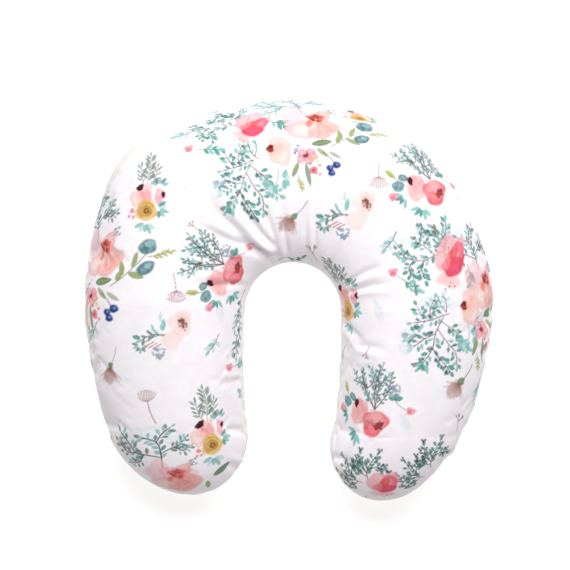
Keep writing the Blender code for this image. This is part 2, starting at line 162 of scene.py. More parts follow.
class Plan:
    """The seam seen from above, anticlockwise from the right tip: a row for each column."""

    def __init__(self, back, arm, tip):
        along = np.arange(arm, 0, -1) / arm
        outer_y = BACK_CENTRE[1] + (TIP_CENTRE_Y - BACK_CENTRE[1]) * along
        inner_y = WAIST_CENTRE[1] + (TIP_CENTRE_Y - WAIST_CENTRE[1]) * along
        turn = np.pi * np.arange(back + 1) / back
        way = np.stack([np.cos(turn), np.sin(turn)], 1)
        swell = BULGE * hump(np.degrees(turn), BULGE_ANGLE, BULGE_REACH)
        outer = [BACK_CENTRE + (BACK_RADIUS + swell[:, None]) * way]
        inner = [WAIST_CENTRE + WAIST_RADIUS * way]
        for side in (1, -1):
            outer_x = side * (BACK_RADIUS - ARM_OUTER_DRAW_IN * along**2)
            inner_x = WAIST_CENTRE[0] + side * (WAIST_RADIUS - ARM_INNER_DRAW_IN * along**2)
            outer.append(np.stack([outer_x, outer_y], 1))
            inner.append(np.stack([inner_x, inner_y], 1))
        outer = np.concatenate([outer[1], outer[0], outer[2][::-1]])
        inner = np.concatenate([inner[1], inner[0], inner[2][::-1]])
        height = BACK_HEIGHT + (TIP_HEIGHT - BACK_HEIGHT) * along
        height = np.concatenate([height, np.full(back + 1, BACK_HEIGHT), height[::-1]])
        spine = (outer + inner) / 2
        last = len(outer) - 1
        left_fan = self.fan(outer[last], inner[last], tip, -1)
        right_fan = self.fan(outer[0], inner[0], tip, 1)[::-1]
        stations = np.arange(last + 1)
        self.last = last
        self.edge = np.concatenate([outer, left_fan, inner[::-1], right_fan])
        self.station = np.concatenate(
            [stations, np.full(tip - 1, last), stations[::-1], np.zeros(tip - 1, int)]
        )
        self.spine = spine[self.station]
        self.height = height[self.station]
        span = self.edge - self.spine
        self.reach = np.linalg.norm(span, axis=1)
        self.way = span / self.reach[:, None]
        self.count = len(self.edge)
        columns = np.arange(self.count)
        self.across = (2 * last + tip - columns) % self.count
        fan_left = (columns > last) & (columns < last + tip)
        fan_right = columns > 2 * last + tip
        self.across[fan_left] = 2 * last + tip - columns[fan_left]
        self.across[fan_right] = columns[fan_right][::-1]
        on_back = (columns >= arm) & (columns <= arm + back)
        self.outer_angle = np.where(on_back, 180 * (columns - arm) / back, OFF_BACK)

    @staticmethod
    def fan(outer, inner, tip, side):
        """The rounded end of an arm, from its outer edge to its inner one."""
        centre, half = (outer + inner) / 2, np.linalg.norm(outer - inner) / 2
        turn = np.pi * (np.arange(1, tip) / tip - 0.5)
        name = "right" if side > 0 else "left"
        stretch, skew = TIP_STRETCH[name], TIP_SKEW[name]
        reach = half + stretch * np.cos(turn) ** 2 + skew * np.sin(2 * turn)
        way = np.stack([-side * np.sin(turn), -np.cos(turn)], 1)
        return centre + reach[:, None] * way

    def mouth(self):
        """1 where the zip's mouth is open, easing to 0 at its ends."""
        low, high = MOUTH
        return smooth_step(low - MOUTH_EASE, low + MOUTH_EASE, self.outer_angle) * smooth_step(
            high + MOUTH_EASE, high - MOUTH_EASE, self.outer_angle
        )

    def seam_height(self):
        """Where the seam runs. It rides up where the cover is pulled round the pillow."""
        lift = sum(rise * hump(self.outer_angle, *place) for rise, *place in SEAM_LIFTS)
        return MID_HEIGHT + lift


def section(plan, angle, seam, inset=0.0, floor=0.0):
    """Points of the cross-section. angle runs from 0 at the crown to pi at the underside."""
    cosine, sine = np.cos(angle), np.sin(angle)
    rise = np.abs(cosine) ** ROUNDNESS
    upper = (plan.height - MID_HEIGHT - inset)[:, None] * rise
    lower = (MID_HEIGHT + FLOOR_SINK - inset) * rise
    height = np.where(cosine >= 0, upper, -lower)
    out = (plan.reach - inset)[:, None] * np.clip(sine, 0, 1) ** ROUNDNESS
    above_seam = (MID_HEIGHT + height - seam[:, None]) / SEAM_GROOVE_SPREAD
    out = out - SEAM_GROOVE * np.exp(-(above_seam**2)) * np.clip(sine, 0, 1)
    place = plan.spine[:, None, :] + plan.way[:, None, :] * out[:, :, None]
    z = np.maximum(MID_HEIGHT + height, floor)
    return np.concatenate([place, z[:, :, None]], 2)


def angle_at(plan, z, inset=0.0):
    """The section angle at which the cross-section passes height z."""
    up = np.clip((z - MID_HEIGHT) / (plan.height - MID_HEIGHT - inset), 0, 1)
    down = np.clip((MID_HEIGHT - z) / (MID_HEIGHT + FLOOR_SINK - inset), 0, 1)
    return np.where(
        z >= MID_HEIGHT,
        np.arccos(up ** (1 / ROUNDNESS)),
        np.pi / 2 + np.arcsin(down ** (1 / ROUNDNESS)),
    )


def spread(start, end, rows):
    """Angles from start to end, a row for each column."""
    return start + (end - start)[:, None] * np.linspace(0, 1, rows + 1)[None, :]


# --- Meshes -------------------------------------------------------------------------------------


def add_object(name, data):
    made = bpy.data.objects.new(name, data)
    bpy.context.scene.collection.objects.link(made)
    return made


def make_object(name, points, faces, smooth=True):
    mesh = bpy.data.meshes.new(name)
    mesh.from_pydata(points, [], faces)
    mesh.update()
    if smooth:
        mesh.shade_smooth()
    return add_object(name, mesh)


def sheet_faces(columns, rows):
    """Quads between the points of a grid with that many columns and rows."""
    index = np.arange(columns * rows).reshape(columns, rows)
    faces = np.stack([index[:-1, :-1], index[1:, :-1], index[1:, 1:], index[:-1, 1:]], -1)
    return faces.reshape(-1, 4).tolist()


def thicken(obj, thickness, offset=-1):
    """Gives a sheet its thickness: inwards, or to both sides where offset is 0."""
    change = obj.modifiers.new("thickness", "SOLIDIFY")
    change.thickness = thickness
    change.offset = offset
    return obj


def crown_points(plan, grid):
    """The grid's first row, with one point for each station of the spine."""
    crown = np.zeros((plan.last + 1, 3))
    crown[plan.station] = grid[:, 0]
    return crown


def grid_object(name, plan, grid, flip):
    """A cloth whose first row is shared across the spine: one vertex for each station there."""
    columns, rows = grid.shape[:2]
    crowns = plan.last + 1
    points = np.concatenate([crown_points(plan, grid), grid[:, 1:].reshape(-1, 3)])
    index = crowns + np.arange(columns * (rows - 1)).reshape(columns, rows - 1)
    index = np.concatenate([plan.station[:, None], index], 1)
    here, there = index, np.roll(index, -1, axis=0)
    quads = np.stack([here[:, :-1], here[:, 1:], there[:, 1:], there[:, :-1]], 2)
    quads = quads[:, :, ::-1] if flip else quads
    same_station = plan.station == np.roll(plan.station, -1)
    fans = quads[:, 0][same_station]
    strips = np.concatenate([quads[:, 0][~same_station], quads[:, 1:].reshape(-1, 4)])
    fans = fans[:, [1, 2, 3]] if flip else fans[:, [0, 1, 2]]
    mesh = bpy.data.meshes.new(name)
    mesh.vertices.add(len(points))
    mesh.vertices.foreach_set("co", points.astype(np.float32).ravel())
    loops = np.concatenate([strips.ravel(), fans.ravel()]).astype(np.int32)
    mesh.loops.add(len(loops))
    mesh.loops.foreach_set("vertex_index", loops)
    starts = np.concatenate(
        [np.arange(len(strips)) * 4, len(strips) * 4 + np.arange(len(fans)) * 3]
    ).astype(np.int32)
    mesh.polygons.add(len(starts))
    mesh.polygons.foreach_set("loop_start", starts)
    mesh.update(calc_edges=True)
    mesh.validate()
    mesh.shade_smooth()
    return add_object(name, mesh), index


def add_attribute(obj, name, index, values, colour=False):
    """Stores values, one for each point of the grid, on the cloth's vertices."""
    count = len(obj.data.vertices)
    size = 4 if colour else 3
    data = np.ones((count, size), np.float32)
    data[index.ravel(), : values.shape[-1]] = values.reshape(-1, values.shape[-1])
    kind = "FLOAT_COLOR" if colour else "FLOAT_VECTOR"
    layer = obj.data.attributes.new(name, kind, "POINT")
    layer.data.foreach_set("color" if colour else "vector", data.ravel())


# --- Simulation of the stuffed cover ------------------------------------------------------------


def coarse_cloth(plan, seam):
    """The whole cover as one closed, coarse cloth: top rows, seam and bottom rows."""
    meet = angle_at(plan, seam)
    top = section(plan, spread(0, meet, COARSE_ROWS), seam)
    bottom = section(plan, spread(np.pi, meet, COARSE_ROWS), seam)
    return top, bottom


def closed_cloth(plan, top, bottom):
    """Points and faces of the cover as one closed cloth, and where each grid's points are."""
    crowns, columns, rows = plan.last + 1, plan.count, COARSE_ROWS
    crown, underside = crown_points(plan, top), crown_points(plan, bottom)
    points = np.concatenate(
        [crown, underside, top[:, 1:].reshape(-1, 3), bottom[:, 1:-1].reshape(-1, 3)]
    )
    top_index = 2 * crowns + np.arange(columns * rows).reshape(columns, rows)
    bottom_index = np.arange(columns * (rows - 1)).reshape(columns, rows - 1)
    bottom_index = bottom_index + 2 * crowns + columns * rows
    top_index = np.concatenate([plan.station[:, None], top_index], 1)
    bottom_index = np.concatenate(
        [crowns + plan.station[:, None], bottom_index, top_index[:, -1:]], 1
    )
    faces = []
    for index, flip in ((top_index, False), (bottom_index, True)):
        there = np.roll(index, -1, axis=0)
        for near, far in zip(index.tolist(), there.tolist()):
            for row in range(rows):
                corners = [near[row], near[row + 1], far[row + 1], far[row]]
                corners = corners[:3] if corners[0] == corners[3] else corners
                faces.append(corners[::-1] if flip else corners)
    return points, faces, top_index, bottom_index


def simulate(plan, top, bottom):
    """Blows the cover up from inside, with its seam held, and returns how far each point moved."""
    points, faces, top_index, bottom_index = closed_cloth(plan, top, bottom)
    cloth = make_object("cover_simulation", points.tolist(), faces)
    held = cloth.vertex_groups.new(name="held")
    held.add(np.unique(top_index[:, -1]).tolist(), 1.0, "REPLACE")
    on_floor = np.flatnonzero(points[:, 2] < 1e-4)
    held.add(on_floor.tolist(), 1.0, "REPLACE")
    wrap = cloth.modifiers.new("cloth", "CLOTH")
    for setting, value in CLOTH_SETTINGS.items():
        setattr(wrap.settings, setting, value)
    wrap.settings.effector_weights.gravity = 0
    wrap.collision_settings.use_collision = False
    wrap.point_cache.frame_start = 1
    wrap.point_cache.frame_end = SIMULATION_FRAMES
    for step in range(1, SIMULATION_FRAMES + 1):
        bpy.context.scene.frame_set(step)
    graph = bpy.context.evaluated_depsgraph_get()
    blown = cloth.evaluated_get(graph)
    moved = np.empty(len(points) * 3, np.float32)
    blown.data.vertices.foreach_get("co", moved)
    bpy.context.scene.frame_set(1)
    bpy.data.objects.remove(cloth, do_unlink=True)
    moved = moved.reshape(-1, 3) - points
    length = np.linalg.norm(moved, axis=1, keepdims=True)
    moved *= np.tanh(length / MOST_MOVE) * MOST_MOVE / np.maximum(length, 1e-9)
    return moved[top_index], moved[bottom_index]


def cubic(values, places, axis_wraps):
    """Values between rows of an array, read on a smooth curve through them."""
    count = len(values)
    base = np.floor(places).astype(int)
    t = (places - base)[:, None, None]
    near = []
    for offset in (-1, 0, 1, 2):
        at = base + offset
        near.append(values[at % count] if axis_wraps else values[np.clip(at, 0, count - 1)])
    a, b, c, d = near
    return b + 0.5 * t * (c - a + t * (2 * a - 5 * b + 4 * c - d + t * (3 * (b - c) + d - a)))


def refine(plan, coarse_plan, moved, rows):
    """The coarse cloth's movement, read at the fine cloth's columns and rows."""
    beyond = moved[coarse_plan.across, 1]
    padded = np.concatenate([beyond[:, None], moved], 1)
    places = 1 + np.linspace(0, 1, rows + 1) * (moved.shape[1] - 1)
    by_row = cubic(padded.transpose(1, 0, 2), places, False).transpose(1, 0, 2)
    return cubic(by_row, np.arange(plan.count) / COARSE, True)


# --- The camera, and where things lie as it sees them -------------------------------------------

LOOK_AT = Vector((-0.0046, 0.0196, 0.100))
VIEW_DISTANCE = 1.9
VIEW_WIDTH = 0.744
ELEVATION = 90.0
ROLL = 1.4
SENSOR_WIDTH = 36


def camera_matrix():
    """The camera looks straight down, from above LOOK_AT, and is rolled a little."""
    return (
        Matrix.Translation(LOOK_AT)
        @ Matrix.Rotation(math.radians(90 - ELEVATION), 4, "X")
        @ Matrix.Rotation(math.radians(ROLL), 4, "Z")
        @ Matrix.Translation((0, 0, VIEW_DISTANCE))
    )


def as_seen(points):
    """Where the camera sees each point, in metres on the plane through LOOK_AT that faces it."""
    to_camera = np.array(camera_matrix().inverted())
    local = points @ to_camera[:3, :3].T + to_camera[:3, 3]
    seen = local[..., :2] * (VIEW_DISTANCE / -local[..., 2:3])
    return seen + np.array(LOOK_AT[:2])


def add_camera():
    lens = bpy.data.cameras.new("camera")
    lens.sensor_width = SENSOR_WIDTH
    lens.lens = SENSOR_WIDTH * VIEW_DISTANCE / VIEW_WIDTH
    camera = add_object("camera", lens)
    camera.matrix_world = camera_matrix()
    bpy.context.scene.camera = camera


# --- Creases and puckers ------------------------------------------------------------------------

# Creases: start and end as the camera sees them, in metres, then depth and half width in metres.
CREASES = (
    ((-0.110, 0.130), (-0.034, 0.058), 0.0059, 0.0070),
    ((-0.122, 0.096), (-0.018, 0.054), 0.0050, 0.0060),
    ((-0.066, 0.124), (-0.020, 0.066), 0.0045, 0.0050),
    ((-0.031, 0.120), (-0.013, 0.062), 0.0042, 0.0048),
    ((-0.009, 0.132), (-0.002, 0.060), 0.0042, 0.0048),
    ((0.024, 0.124), (0.022, 0.060), 0.0042, 0.0048),
    ((0.036, 0.122), (0.033, 0.074), 0.0034, 0.0040),
    ((0.066, 0.104), (0.050, 0.060), 0.0022, 0.0050),
    ((0.124, 0.044), (0.076, 0.022), 0.0031, 0.0042),
    ((0.134, 0.020), (0.082, 0.010), 0.0028, 0.0042),
    ((-0.126, 0.020), (-0.066, 0.018), 0.0025, 0.0050),
    ((0.098, -0.062), (0.068, -0.030), 0.0031, 0.0050),
    ((0.128, -0.066), (0.092, -0.060), 0.0020, 0.0050),
    ((-0.084, -0.214), (-0.056, -0.219), 0.0034, 0.0050),
    ((-0.078, -0.165), (-0.058, -0.173), 0.0031, 0.0050),
    ((0.084, -0.214), (0.060, -0.205), 0.0028, 0.0050),
    ((-0.090, -0.110), (-0.062, -0.104), 0.0020, 0.0050),
)


def crease_depth(seen):
    """How far the creases push the cloth in (negative) or lift it beside them."""
    depth = np.zeros(seen.shape[:-1])
    for start, end, deep, wide in CREASES:
        start, end = np.array(start), np.array(end)
        run = end - start
        length = np.linalg.norm(run)
        run = run / length
        along = (seen - start) @ run
        side = (seen - start) @ np.array([-run[1], run[0]])
        t = along / length
        bend = side + 0.03 * length * np.sin(np.pi * np.clip(t, 0, 1))
        grow = smooth_step(-0.15, 0.55, t) * smooth_step(1.35, 0.9, t)
        width = wide * (1.35 - 0.6 * np.clip(t, 0, 1))
        offset = bend / width
        fold = np.exp(-(offset**2)) - 0.55 * np.exp(-((offset - 1.9) ** 2))
        depth -= deep * grow * fold
    return depth


def wave(phase, frequencies, seed):
    """A sum of waves with random phases, between about -1 and 1."""
    dice = np.random.default_rng(seed)
    total = sum(np.sin(phase * f + dice.uniform(0, 2 * np.pi)) for f in frequencies)
    return total / len(frequencies) ** 0.5


def puckers(plan, away):
    """Small gathers along the seam, which die out away from it (away in metres)."""
    step = np.linalg.norm(plan.edge - np.roll(plan.edge, 1, axis=0), axis=1)
    travel = np.cumsum(step)
    turns = 2 * np.pi * travel / travel[-1]
    fine = wave(turns, (151, 187, 223), 3)[:, None]
    broad = wave(turns, (67, 83, 97), 4)[:, None]
    swing = 0.5 + 0.5 * wave(turns, (9, 14, 23), 5)[:, None]
    height, reach = FINE_PUCKERS
    fine = height * fine * np.exp(-away / reach)
    height, reach = BROAD_PUCKERS
    return swing * (fine + height * broad * np.exp(-away / reach))


def even_crown(plan, grid):
    """Makes the sides of the cover agree about the crown vertices that they share."""
    total = np.zeros((plan.last + 1, 3))
    count = np.zeros(plan.last + 1)
    np.add.at(total, plan.station, grid[:, 0])
    np.add.at(count, plan.station, 1)
    grid[:, 0] = (total / count[:, None])[plan.station]
    return grid


def surface_normals(grid, outwards):
    """The way out of the cloth at each point. outwards is 1 above the seam and -1 below it."""
    down, side = grid_ways(grid)
    side[:, 0] = side[:, 1]
    normal = unit(np.cross(side, down))
    normal *= np.sign(np.mean(normal[:, 1, 2])) * outwards
    normal[:, 0] = (0, 0, outwards)
    return normal


def turned_edge(plan, grid, up):
    """Adds the rows of cloth that turn in at the seam."""
    rim = grid[:, -1]
    way = np.concatenate([plan.way, np.zeros((plan.count, 1))], 1)
    lift = np.array([0, 0, up])
    rows = [rim - way * depth + lift * rise for depth, rise in HEM]
    return np.concatenate([grid, np.stack(rows, 1)], 1)


def cover_surfaces(fine, coarse):
    """The top and the bottom of the stuffed cover, as grids of points."""
    fine_seam, coarse_seam = fine.seam_height(), coarse.seam_height()
    top, bottom = coarse_cloth(coarse, coarse_seam)
    top_moved, bottom_moved = simulate(coarse, top, bottom)
    grids = []
    mouth = SEAM_GAP + fine.mouth() * MOUTH_HALF_HEIGHT
    upper, lower = (1, 0, TOP_ROWS, top_moved), (-1, np.pi, BOTTOM_ROWS, bottom_moved)
    for up, start, rows, moved in (upper, lower):
        meet = angle_at(fine, fine_seam + up * mouth)
        grid = section(fine, spread(start, meet, rows), fine_seam)
        moved = refine(fine, coarse, moved, rows)
        away = np.abs(grid[:, :, 2] - fine_seam[:, None])
        normal = surface_normals(grid, up)
        push = -SEAM_PINCH * np.exp(-((away / SEAM_PINCH_SPREAD) ** 2)) + puckers(fine, away)
        if up > 0:
            push += crease_depth(as_seen(grid)) * smooth_step(*CREASE_FADE, away)
        resting = smooth_step(*FLOOR_FADE, grid[:, :, 2]) if up < 0 else 1.0
        grid = grid + moved + normal * (push * resting)[:, :, None]
        grid[:, :, 2] = np.maximum(grid[:, :, 2], 0)
        grids.append(even_crown(fine, grid))
    return grids


# --- The print ----------------------------------------------------------------------------------


def ink(code):
    """A colour as linear light, from its hexadecimal code."""
    channels = np.array([int(code[i : i + 2], 16) for i in (0, 2, 4)]) / 255
    return np.where(channels <= 0.04045, channels / 12.92, ((channels + 0.055) / 1.055) ** 2.4)


WHITE = ink("FFFBFE")
CORAL, CORAL_DEEP, CORAL_PALE = ink("F2808A"), ink("E8505E"), ink("F9B9BA")
PEACH, PEACH_PALE, PEACH_DEEP = ink("F9BBAC"), ink("FDE3DA"), ink("F28F80")
ROSE, ROSE_DEEP = ink("F9AEBE"), ink("E8436B")
ORANGE = ink("E9562F")
DARK = ink("4A1620")
MAROON = ink("7A1F26")
TEAL, TEAL_DARK, TEAL_PALE = ink("6CB5AC"), ink("3B8178"), ink("ABD8D5")
TEAL_BLUE = ink("2F7482")
GREY_GREEN, GREY_GREEN_DARK = ink("97AFA8"), ink("526F6B")
OLIVE, OLIVE_PALE = ink("7E9358"), ink("B3BC7F")
KHAKI = ink("A8A98F")
YELLOW_GREEN = ink("C3C24A")
TWIG, TWIG_RED = ink("44312F"), ink("B8524E")
MUSTARD, MUSTARD_DEEP = ink("EABB42"), ink("8F6220")
VIOLET, BLUE = ink("8C98BD"), ink("24458F")
SKY = ink("DFEBF2")
DUSK, DUSK_PALE = ink("9A756C"), ink("D6BAAF")
BERRY = ink("173033")


class Paint:
    """The print on the top panel. Motifs are painted in millimetres on a patch of it."""

    def __init__(self, plan, grid):
        self.shape = grid.shape
        self.points = grid.reshape(-1, 3)
        self.seen = as_seen(self.points)
        self.colour = np.tile(WHITE, (len(self.points), 1))
        self.down, self.side = (unit(way) for way in grid_ways(grid))
        self.way = plan.way

    def frame(self, index):
        """The point and the print's right and up directions there."""
        column, row = np.unravel_index(index, self.shape[:2])
        row = max(row, 3)
        down, side, way = self.down[column, row], self.side[column, row], self.way[column]
        flat_side = unit(side[:2])
        targets = heading(ROLL), heading(ROLL + 90)
        axes = [unit((way @ to) * down + (flat_side @ to) * side) for to in targets]
        return self.points[index], axes

    def patch(self, index, reach, turn=0.0, tall=1.0):
        """The cloth within reach millimetres of a point. tall squashes what is painted there."""
        origin, (right, up) = self.frame(index)
        offset = (self.points - origin) * 1000
        near = np.flatnonzero(np.einsum("ij,ij->i", offset, offset) < reach**2)
        offset = offset[near]
        x, y = offset @ right, offset @ up
        stretch = np.linalg.norm(offset, axis=1) / np.maximum(np.hypot(x, y), 1e-6)
        x, y = x * np.minimum(stretch, 3), y * np.minimum(stretch, 3)
        x, y = turned(x, y, turn)
        return Patch(self, near, x, y / tall)

    def at(self, x, y, reach, turn=0.0, tall=1.0):
        """The cloth round a place that the camera sees, given in metres."""
        gap = np.linalg.norm(self.seen - np.array([x, y]), axis=1)
        near = np.flatnonzero(gap < max(0.002, gap.min() + 0.001))
        return self.patch(int(near[np.argmax(self.points[near, 2])]), reach, turn, tall)

    def paint_seam_shade(self):
        """Painted shade: the cloth's colour is darkened in the groove of the seam."""
        grid = self.points.reshape(self.shape)
        away = np.linalg.norm(grid - grid[:, -1:], axis=2)
        shade = SEAM_PAINTED_SHADE * np.exp(-((away / SEAM_PAINTED_SHADE_SPREAD) ** 2))
        self.colour *= 1 - shade.reshape(-1, 1) * SEAM_PAINTED_SHADE_TINT

    def on_wall(self, x, y, z, reach):
        """The cloth round the point that lies nearest to a place, given in metres."""
        gap = np.linalg.norm(self.points - np.array([x, y, z]), axis=1)
        return self.patch(int(np.argmin(gap)), reach)


# A sprig's stem is followed in so many steps.
SPRIG_STEPS = 39


class Patch:
    """A patch of cloth in its own millimetres: x to the right of the print, y up it."""

    def __init__(self, paint, near, x, y):
        self.paint, self.near, self.x, self.y = paint, near, x, y
        curl = np.sin(0.50 * x + 1.7 * np.sin(0.21 * y))
        curl = curl * np.sin(0.43 * y + 1.9 * np.sin(0.17 * x + 2))
        grain = np.sin(1.3 * x + 0.9 * y + 2 * np.sin(0.6 * y))
        self.stain = 0.5 + 0.35 * curl + 0.15 * grain

    def lay(self, mask, colour, strength, where):
        """Lays a colour over what is there, as thickly as mask and strength say."""
        near = self.near[where]
        old = self.paint.colour[near]
        self.paint.colour[near] = old + (colour - old) * np.clip(mask * strength, 0, 1)[:, None]

    def around(self, x, y, reach):
        """Which points lie near a place, and how far they are from it in x and y."""
        where = np.flatnonzero((np.abs(self.x - x) < reach) & (np.abs(self.y - y) < reach))
        return where, self.x[where] - x, self.y[where] - y

    def petal(self, x, y, wide, tall, colour, turn=0.0, edge=None, strength=0.85, wobble=0.10):
        """A soft, slightly uneven oval. edge is the colour that gathers at its rim."""
        where, dx, dy = self.around(x, y, 1.5 * max(wide, tall))
        if not len(where):
            return
        u, v = turned(dx, dy, turn)
        u, v = u / wide, v / tall
        radius = np.hypot(u, v)
        angle = np.arctan2(v, u)
        uneven = wobble * (np.sin(3 * angle + x) + 0.6 * np.sin(5 * angle + y))
        rim = radius * (1 + uneven)
        soft = (2.0 if max(wide, tall) > 9 else 1.0) / max(wide, tall)
        mask = smooth_step(1 + soft, 1 - soft, rim)
        wet = 0.34 if max(wide, tall) > 6 else 0.0
        self.lay(mask * (1 - wet * self.stain[where]), colour, strength, where)
        if wet:
            dried = mask * smooth_step(1 - 2.6 * soft, 1 - 0.4 * soft, rim)
            self.lay(dried, colour * 0.88, 0.22 * strength, where)
        if edge is not None:
            self.lay(mask * smooth_step(0.25, 1.0, rim), edge, 0.60 * strength, where)

    def leaves(self, *rows):
        """One leaf over another, each given as leaf takes them."""
        for row in rows:
            self.leaf(*row)

    def petals(self, *rows):
        """One petal over another, each given as petal takes them."""
        for row in rows:
            self.petal(*row)

    def streaks(self, x, y, wide, tall, colour, turn=0.0, count=5, strength=0.5):
        """Fine brush lines that run out along a petal."""
        dice = np.random.default_rng(int(abs(x * 7 + y * 13)) + 1)
        for i in range(count):
            lean = turn + (i / max(count - 1, 1) - 0.5) * 50 + dice.uniform(-5, 5)
            length = tall * dice.uniform(0.7, 1.0)
            way = heading(lean + 90)
            start = np.array([x, y]) + way * 0.15 * length
            self.line([start, start + way * length], wide, colour, strength, taper=True)

    def leaf(self, x, y, turn, length, width, colour, pale=None, strength=0.9):
        """A pointed leaf from its stalk at x, y, growing in the direction turn (degrees)."""
        where, dx, dy = self.around(x, y, 1.15 * length)
        if not len(where):
            return
        t, side = turned(dx, dy, turn)
        t = t / length
        inside = np.clip(t, 0, 1)
        half = width / 2 * np.sin(np.pi * inside**0.9) ** 0.65
        mask = smooth_step(0.55, -0.55, np.abs(side) - half) * smooth_step(-0.04, 0.04, t)
        mask *= smooth_step(1.06, 0.98, t)
        self.lay(mask, colour, strength, where)
        if pale is not None:
            tint = mask * smooth_step(0.1, 0.9, t * 0.6 + 0.5 + side / (width + 0.1) * 0.8)
            self.lay(tint, pale, 0.65 * strength, where)

    def line(self, points, width, colour, strength=0.85, taper=False):
        """A smooth brush line through points."""
        points = np.array(points, float)
        if len(points) > 2:
            t = np.linspace(0, len(points) - 1, 6 * len(points))
            points = cubic(points[:, None, :], t, False)[:, 0]
        low, high = points.min(0) - width, points.max(0) + width
        where = np.flatnonzero(
            (self.x > low[0]) & (self.x < high[0]) & (self.y > low[1]) & (self.y < high[1])
        )
        if not len(where):
            return
        x, y = self.x[where], self.y[where]
        near = np.full(len(where), 1e9)
        for i in range(len(points) - 1):
            run_x, run_y = run = points[i + 1] - points[i]
            dx, dy = x - points[i][0], y - points[i][1]
            t = np.clip((dx * run_x + dy * run_y) / (run @ run + 1e-9), 0, 1)
            gap = np.hypot(dx - t * run_x, dy - t * run_y)
            thin = 0.6 * width * (i + t) / (len(points) - 1) if taper else 0
            near = np.minimum(near, gap + thin / 2)
        self.lay(smooth_step(0.5, -0.35, near - width / 2), colour, strength, where)

    def dots(self, places, radius, colour, strength=0.9):
        for x, y in places:
            self.petal(x, y, radius, radius, colour, strength=strength, wobble=0.0)

    def cluster(self, x, y, spread_out, count, radius, colours, seed):
        """A loose bunch of berries."""
        dice = np.random.default_rng(seed)
        for i in range(count):
            away, turn = spread_out * dice.uniform(0.05, 1) ** 0.6, dice.uniform(0, 2 * np.pi)
            place = (x + away * math.cos(turn), y + away * math.sin(turn))
            self.dots([place], radius * dice.uniform(0.75, 1.15), colours[i % len(colours)])

    def sprig(
        self, points, leaf, count, colours, seed, stem=TWIG, lean=48, thick=0.9, berries=0, stalk=0
    ):
        """A stem through points with leaves on alternate sides: leaf is (length, width)."""
        dice = np.random.default_rng(seed)
        points = np.array(points, float)
        last = SPRIG_STEPS
        if len(points) > 2:
            t = np.linspace(0, len(points) - 1, last + 1)
            path = cubic(points[:, None, :], t, False)[:, 0]
        else:
            t = np.linspace(0, 1, last + 1)[:, None]
            path = points[0] + (points[-1] - points[0]) * t
        for i in range(count):
            at = int(last * (0.18 + 0.82 * (i + 1) / count))
            here = path[min(at, last)]
            way = path[min(at + 1, last)] - path[max(at - 2, 0)]
            side = 0 if i == count - 1 else (1 if i % 2 else -1)
            turn = math.degrees(math.atan2(way[1], way[0])) + side * (lean + dice.uniform(-14, 14))
            size = dice.uniform(0.8, 1.15)
            colour, pale = colours[int(dice.integers(len(colours)))]
            if stalk:
                foot, here = here, here + stalk * dice.uniform(0.5, 1.3) * heading(turn)
                self.line([foot, here], 0.7 * thick, stem, 0.6)
            self.leaf(*here, turn, leaf[0] * size, leaf[1] * size, colour, pale)
            if berries and i % berries == 0:
                spot = here + 0.8 * leaf[0] * heading(turn - side * 30)
                self.dots([spot, spot + (2.2, 2.5), spot + (-2.1, 2.2)], 1.5, BERRY)
        self.line(points, 1.1 * thick, stem, 0.85)


TEALS = ((TEAL, TEAL_PALE), (TEAL_DARK, TEAL), (TEAL, TEAL_DARK), (TEAL_PALE, TEAL))
BRIGHT = ((TEAL_DARK, TEAL), (TEAL, TEAL_PALE))
DARK_TEALS = ((TEAL_DARK, GREY_GREEN), (GREY_GREEN_DARK, TEAL), (TEAL, TEAL_DARK))
PALE_TEALS = ((TEAL_PALE, SKY), (TEAL, TEAL_PALE), (TEAL_PALE, TEAL))
GREYS = ((GREY_GREEN, GREY_GREEN_DARK), (GREY_GREEN_DARK, GREY_GREEN), (GREY_GREEN, TEAL_PALE))
LIMES = ((YELLOW_GREEN, OLIVE_PALE), (OLIVE_PALE, YELLOW_GREEN))
GREY_TEALS = GREYS + TEALS[:2]
TEAL_AND_GREY = TEALS[:1] + GREYS[:1]
TEAL_AND_PALE = TEALS[:1] + PALE_TEALS[:1]


def leaf_fan(patch, x, y, turns, leaf, colours, gap=2.5):
    """Single leaves that spread from one point, with a gap before each."""
    for i, turn in enumerate(turns):
        long = leaf[0] * (1 - 0.14 * (i % 3))
        spot = (x, y) + gap * heading(turn)
        patch.leaf(*spot, turn, long, leaf[1], *colours[i % len(colours)])


def branch(patch, stems, leaf, fewer, colours, seed, berries=(0, 0), **style):
    """A sprig along each stem, with three leaves for each of its points but for a few.

    berries says how often they come on the even stems and on the odd ones.
    """
    for i, stem in enumerate(stems):
        count, bunches = 3 * len(stem) - fewer, berries[i % 2]
        patch.sprig(stem, leaf, count, colours, seed + i, berries=bunches, **style)


def fan_of_sprigs(patch, x, y, turns, length, leaf, count, colours, seed, **style):
    """Sprigs that spread from one point. turns are their directions in degrees."""
    for i, turn in enumerate(turns):
        way = heading(turn)
        bow = np.array([-way[1], way[0]]) * (0.08 * length * (1 if i % 2 else -1))
        reach = length * (1 - 0.12 * (i % 3))
        start = np.array([x, y])
        points = [start, start + way * reach * 0.5 + bow, start + way * reach]
        patch.sprig(points, leaf, count, colours, seed + i, **style)


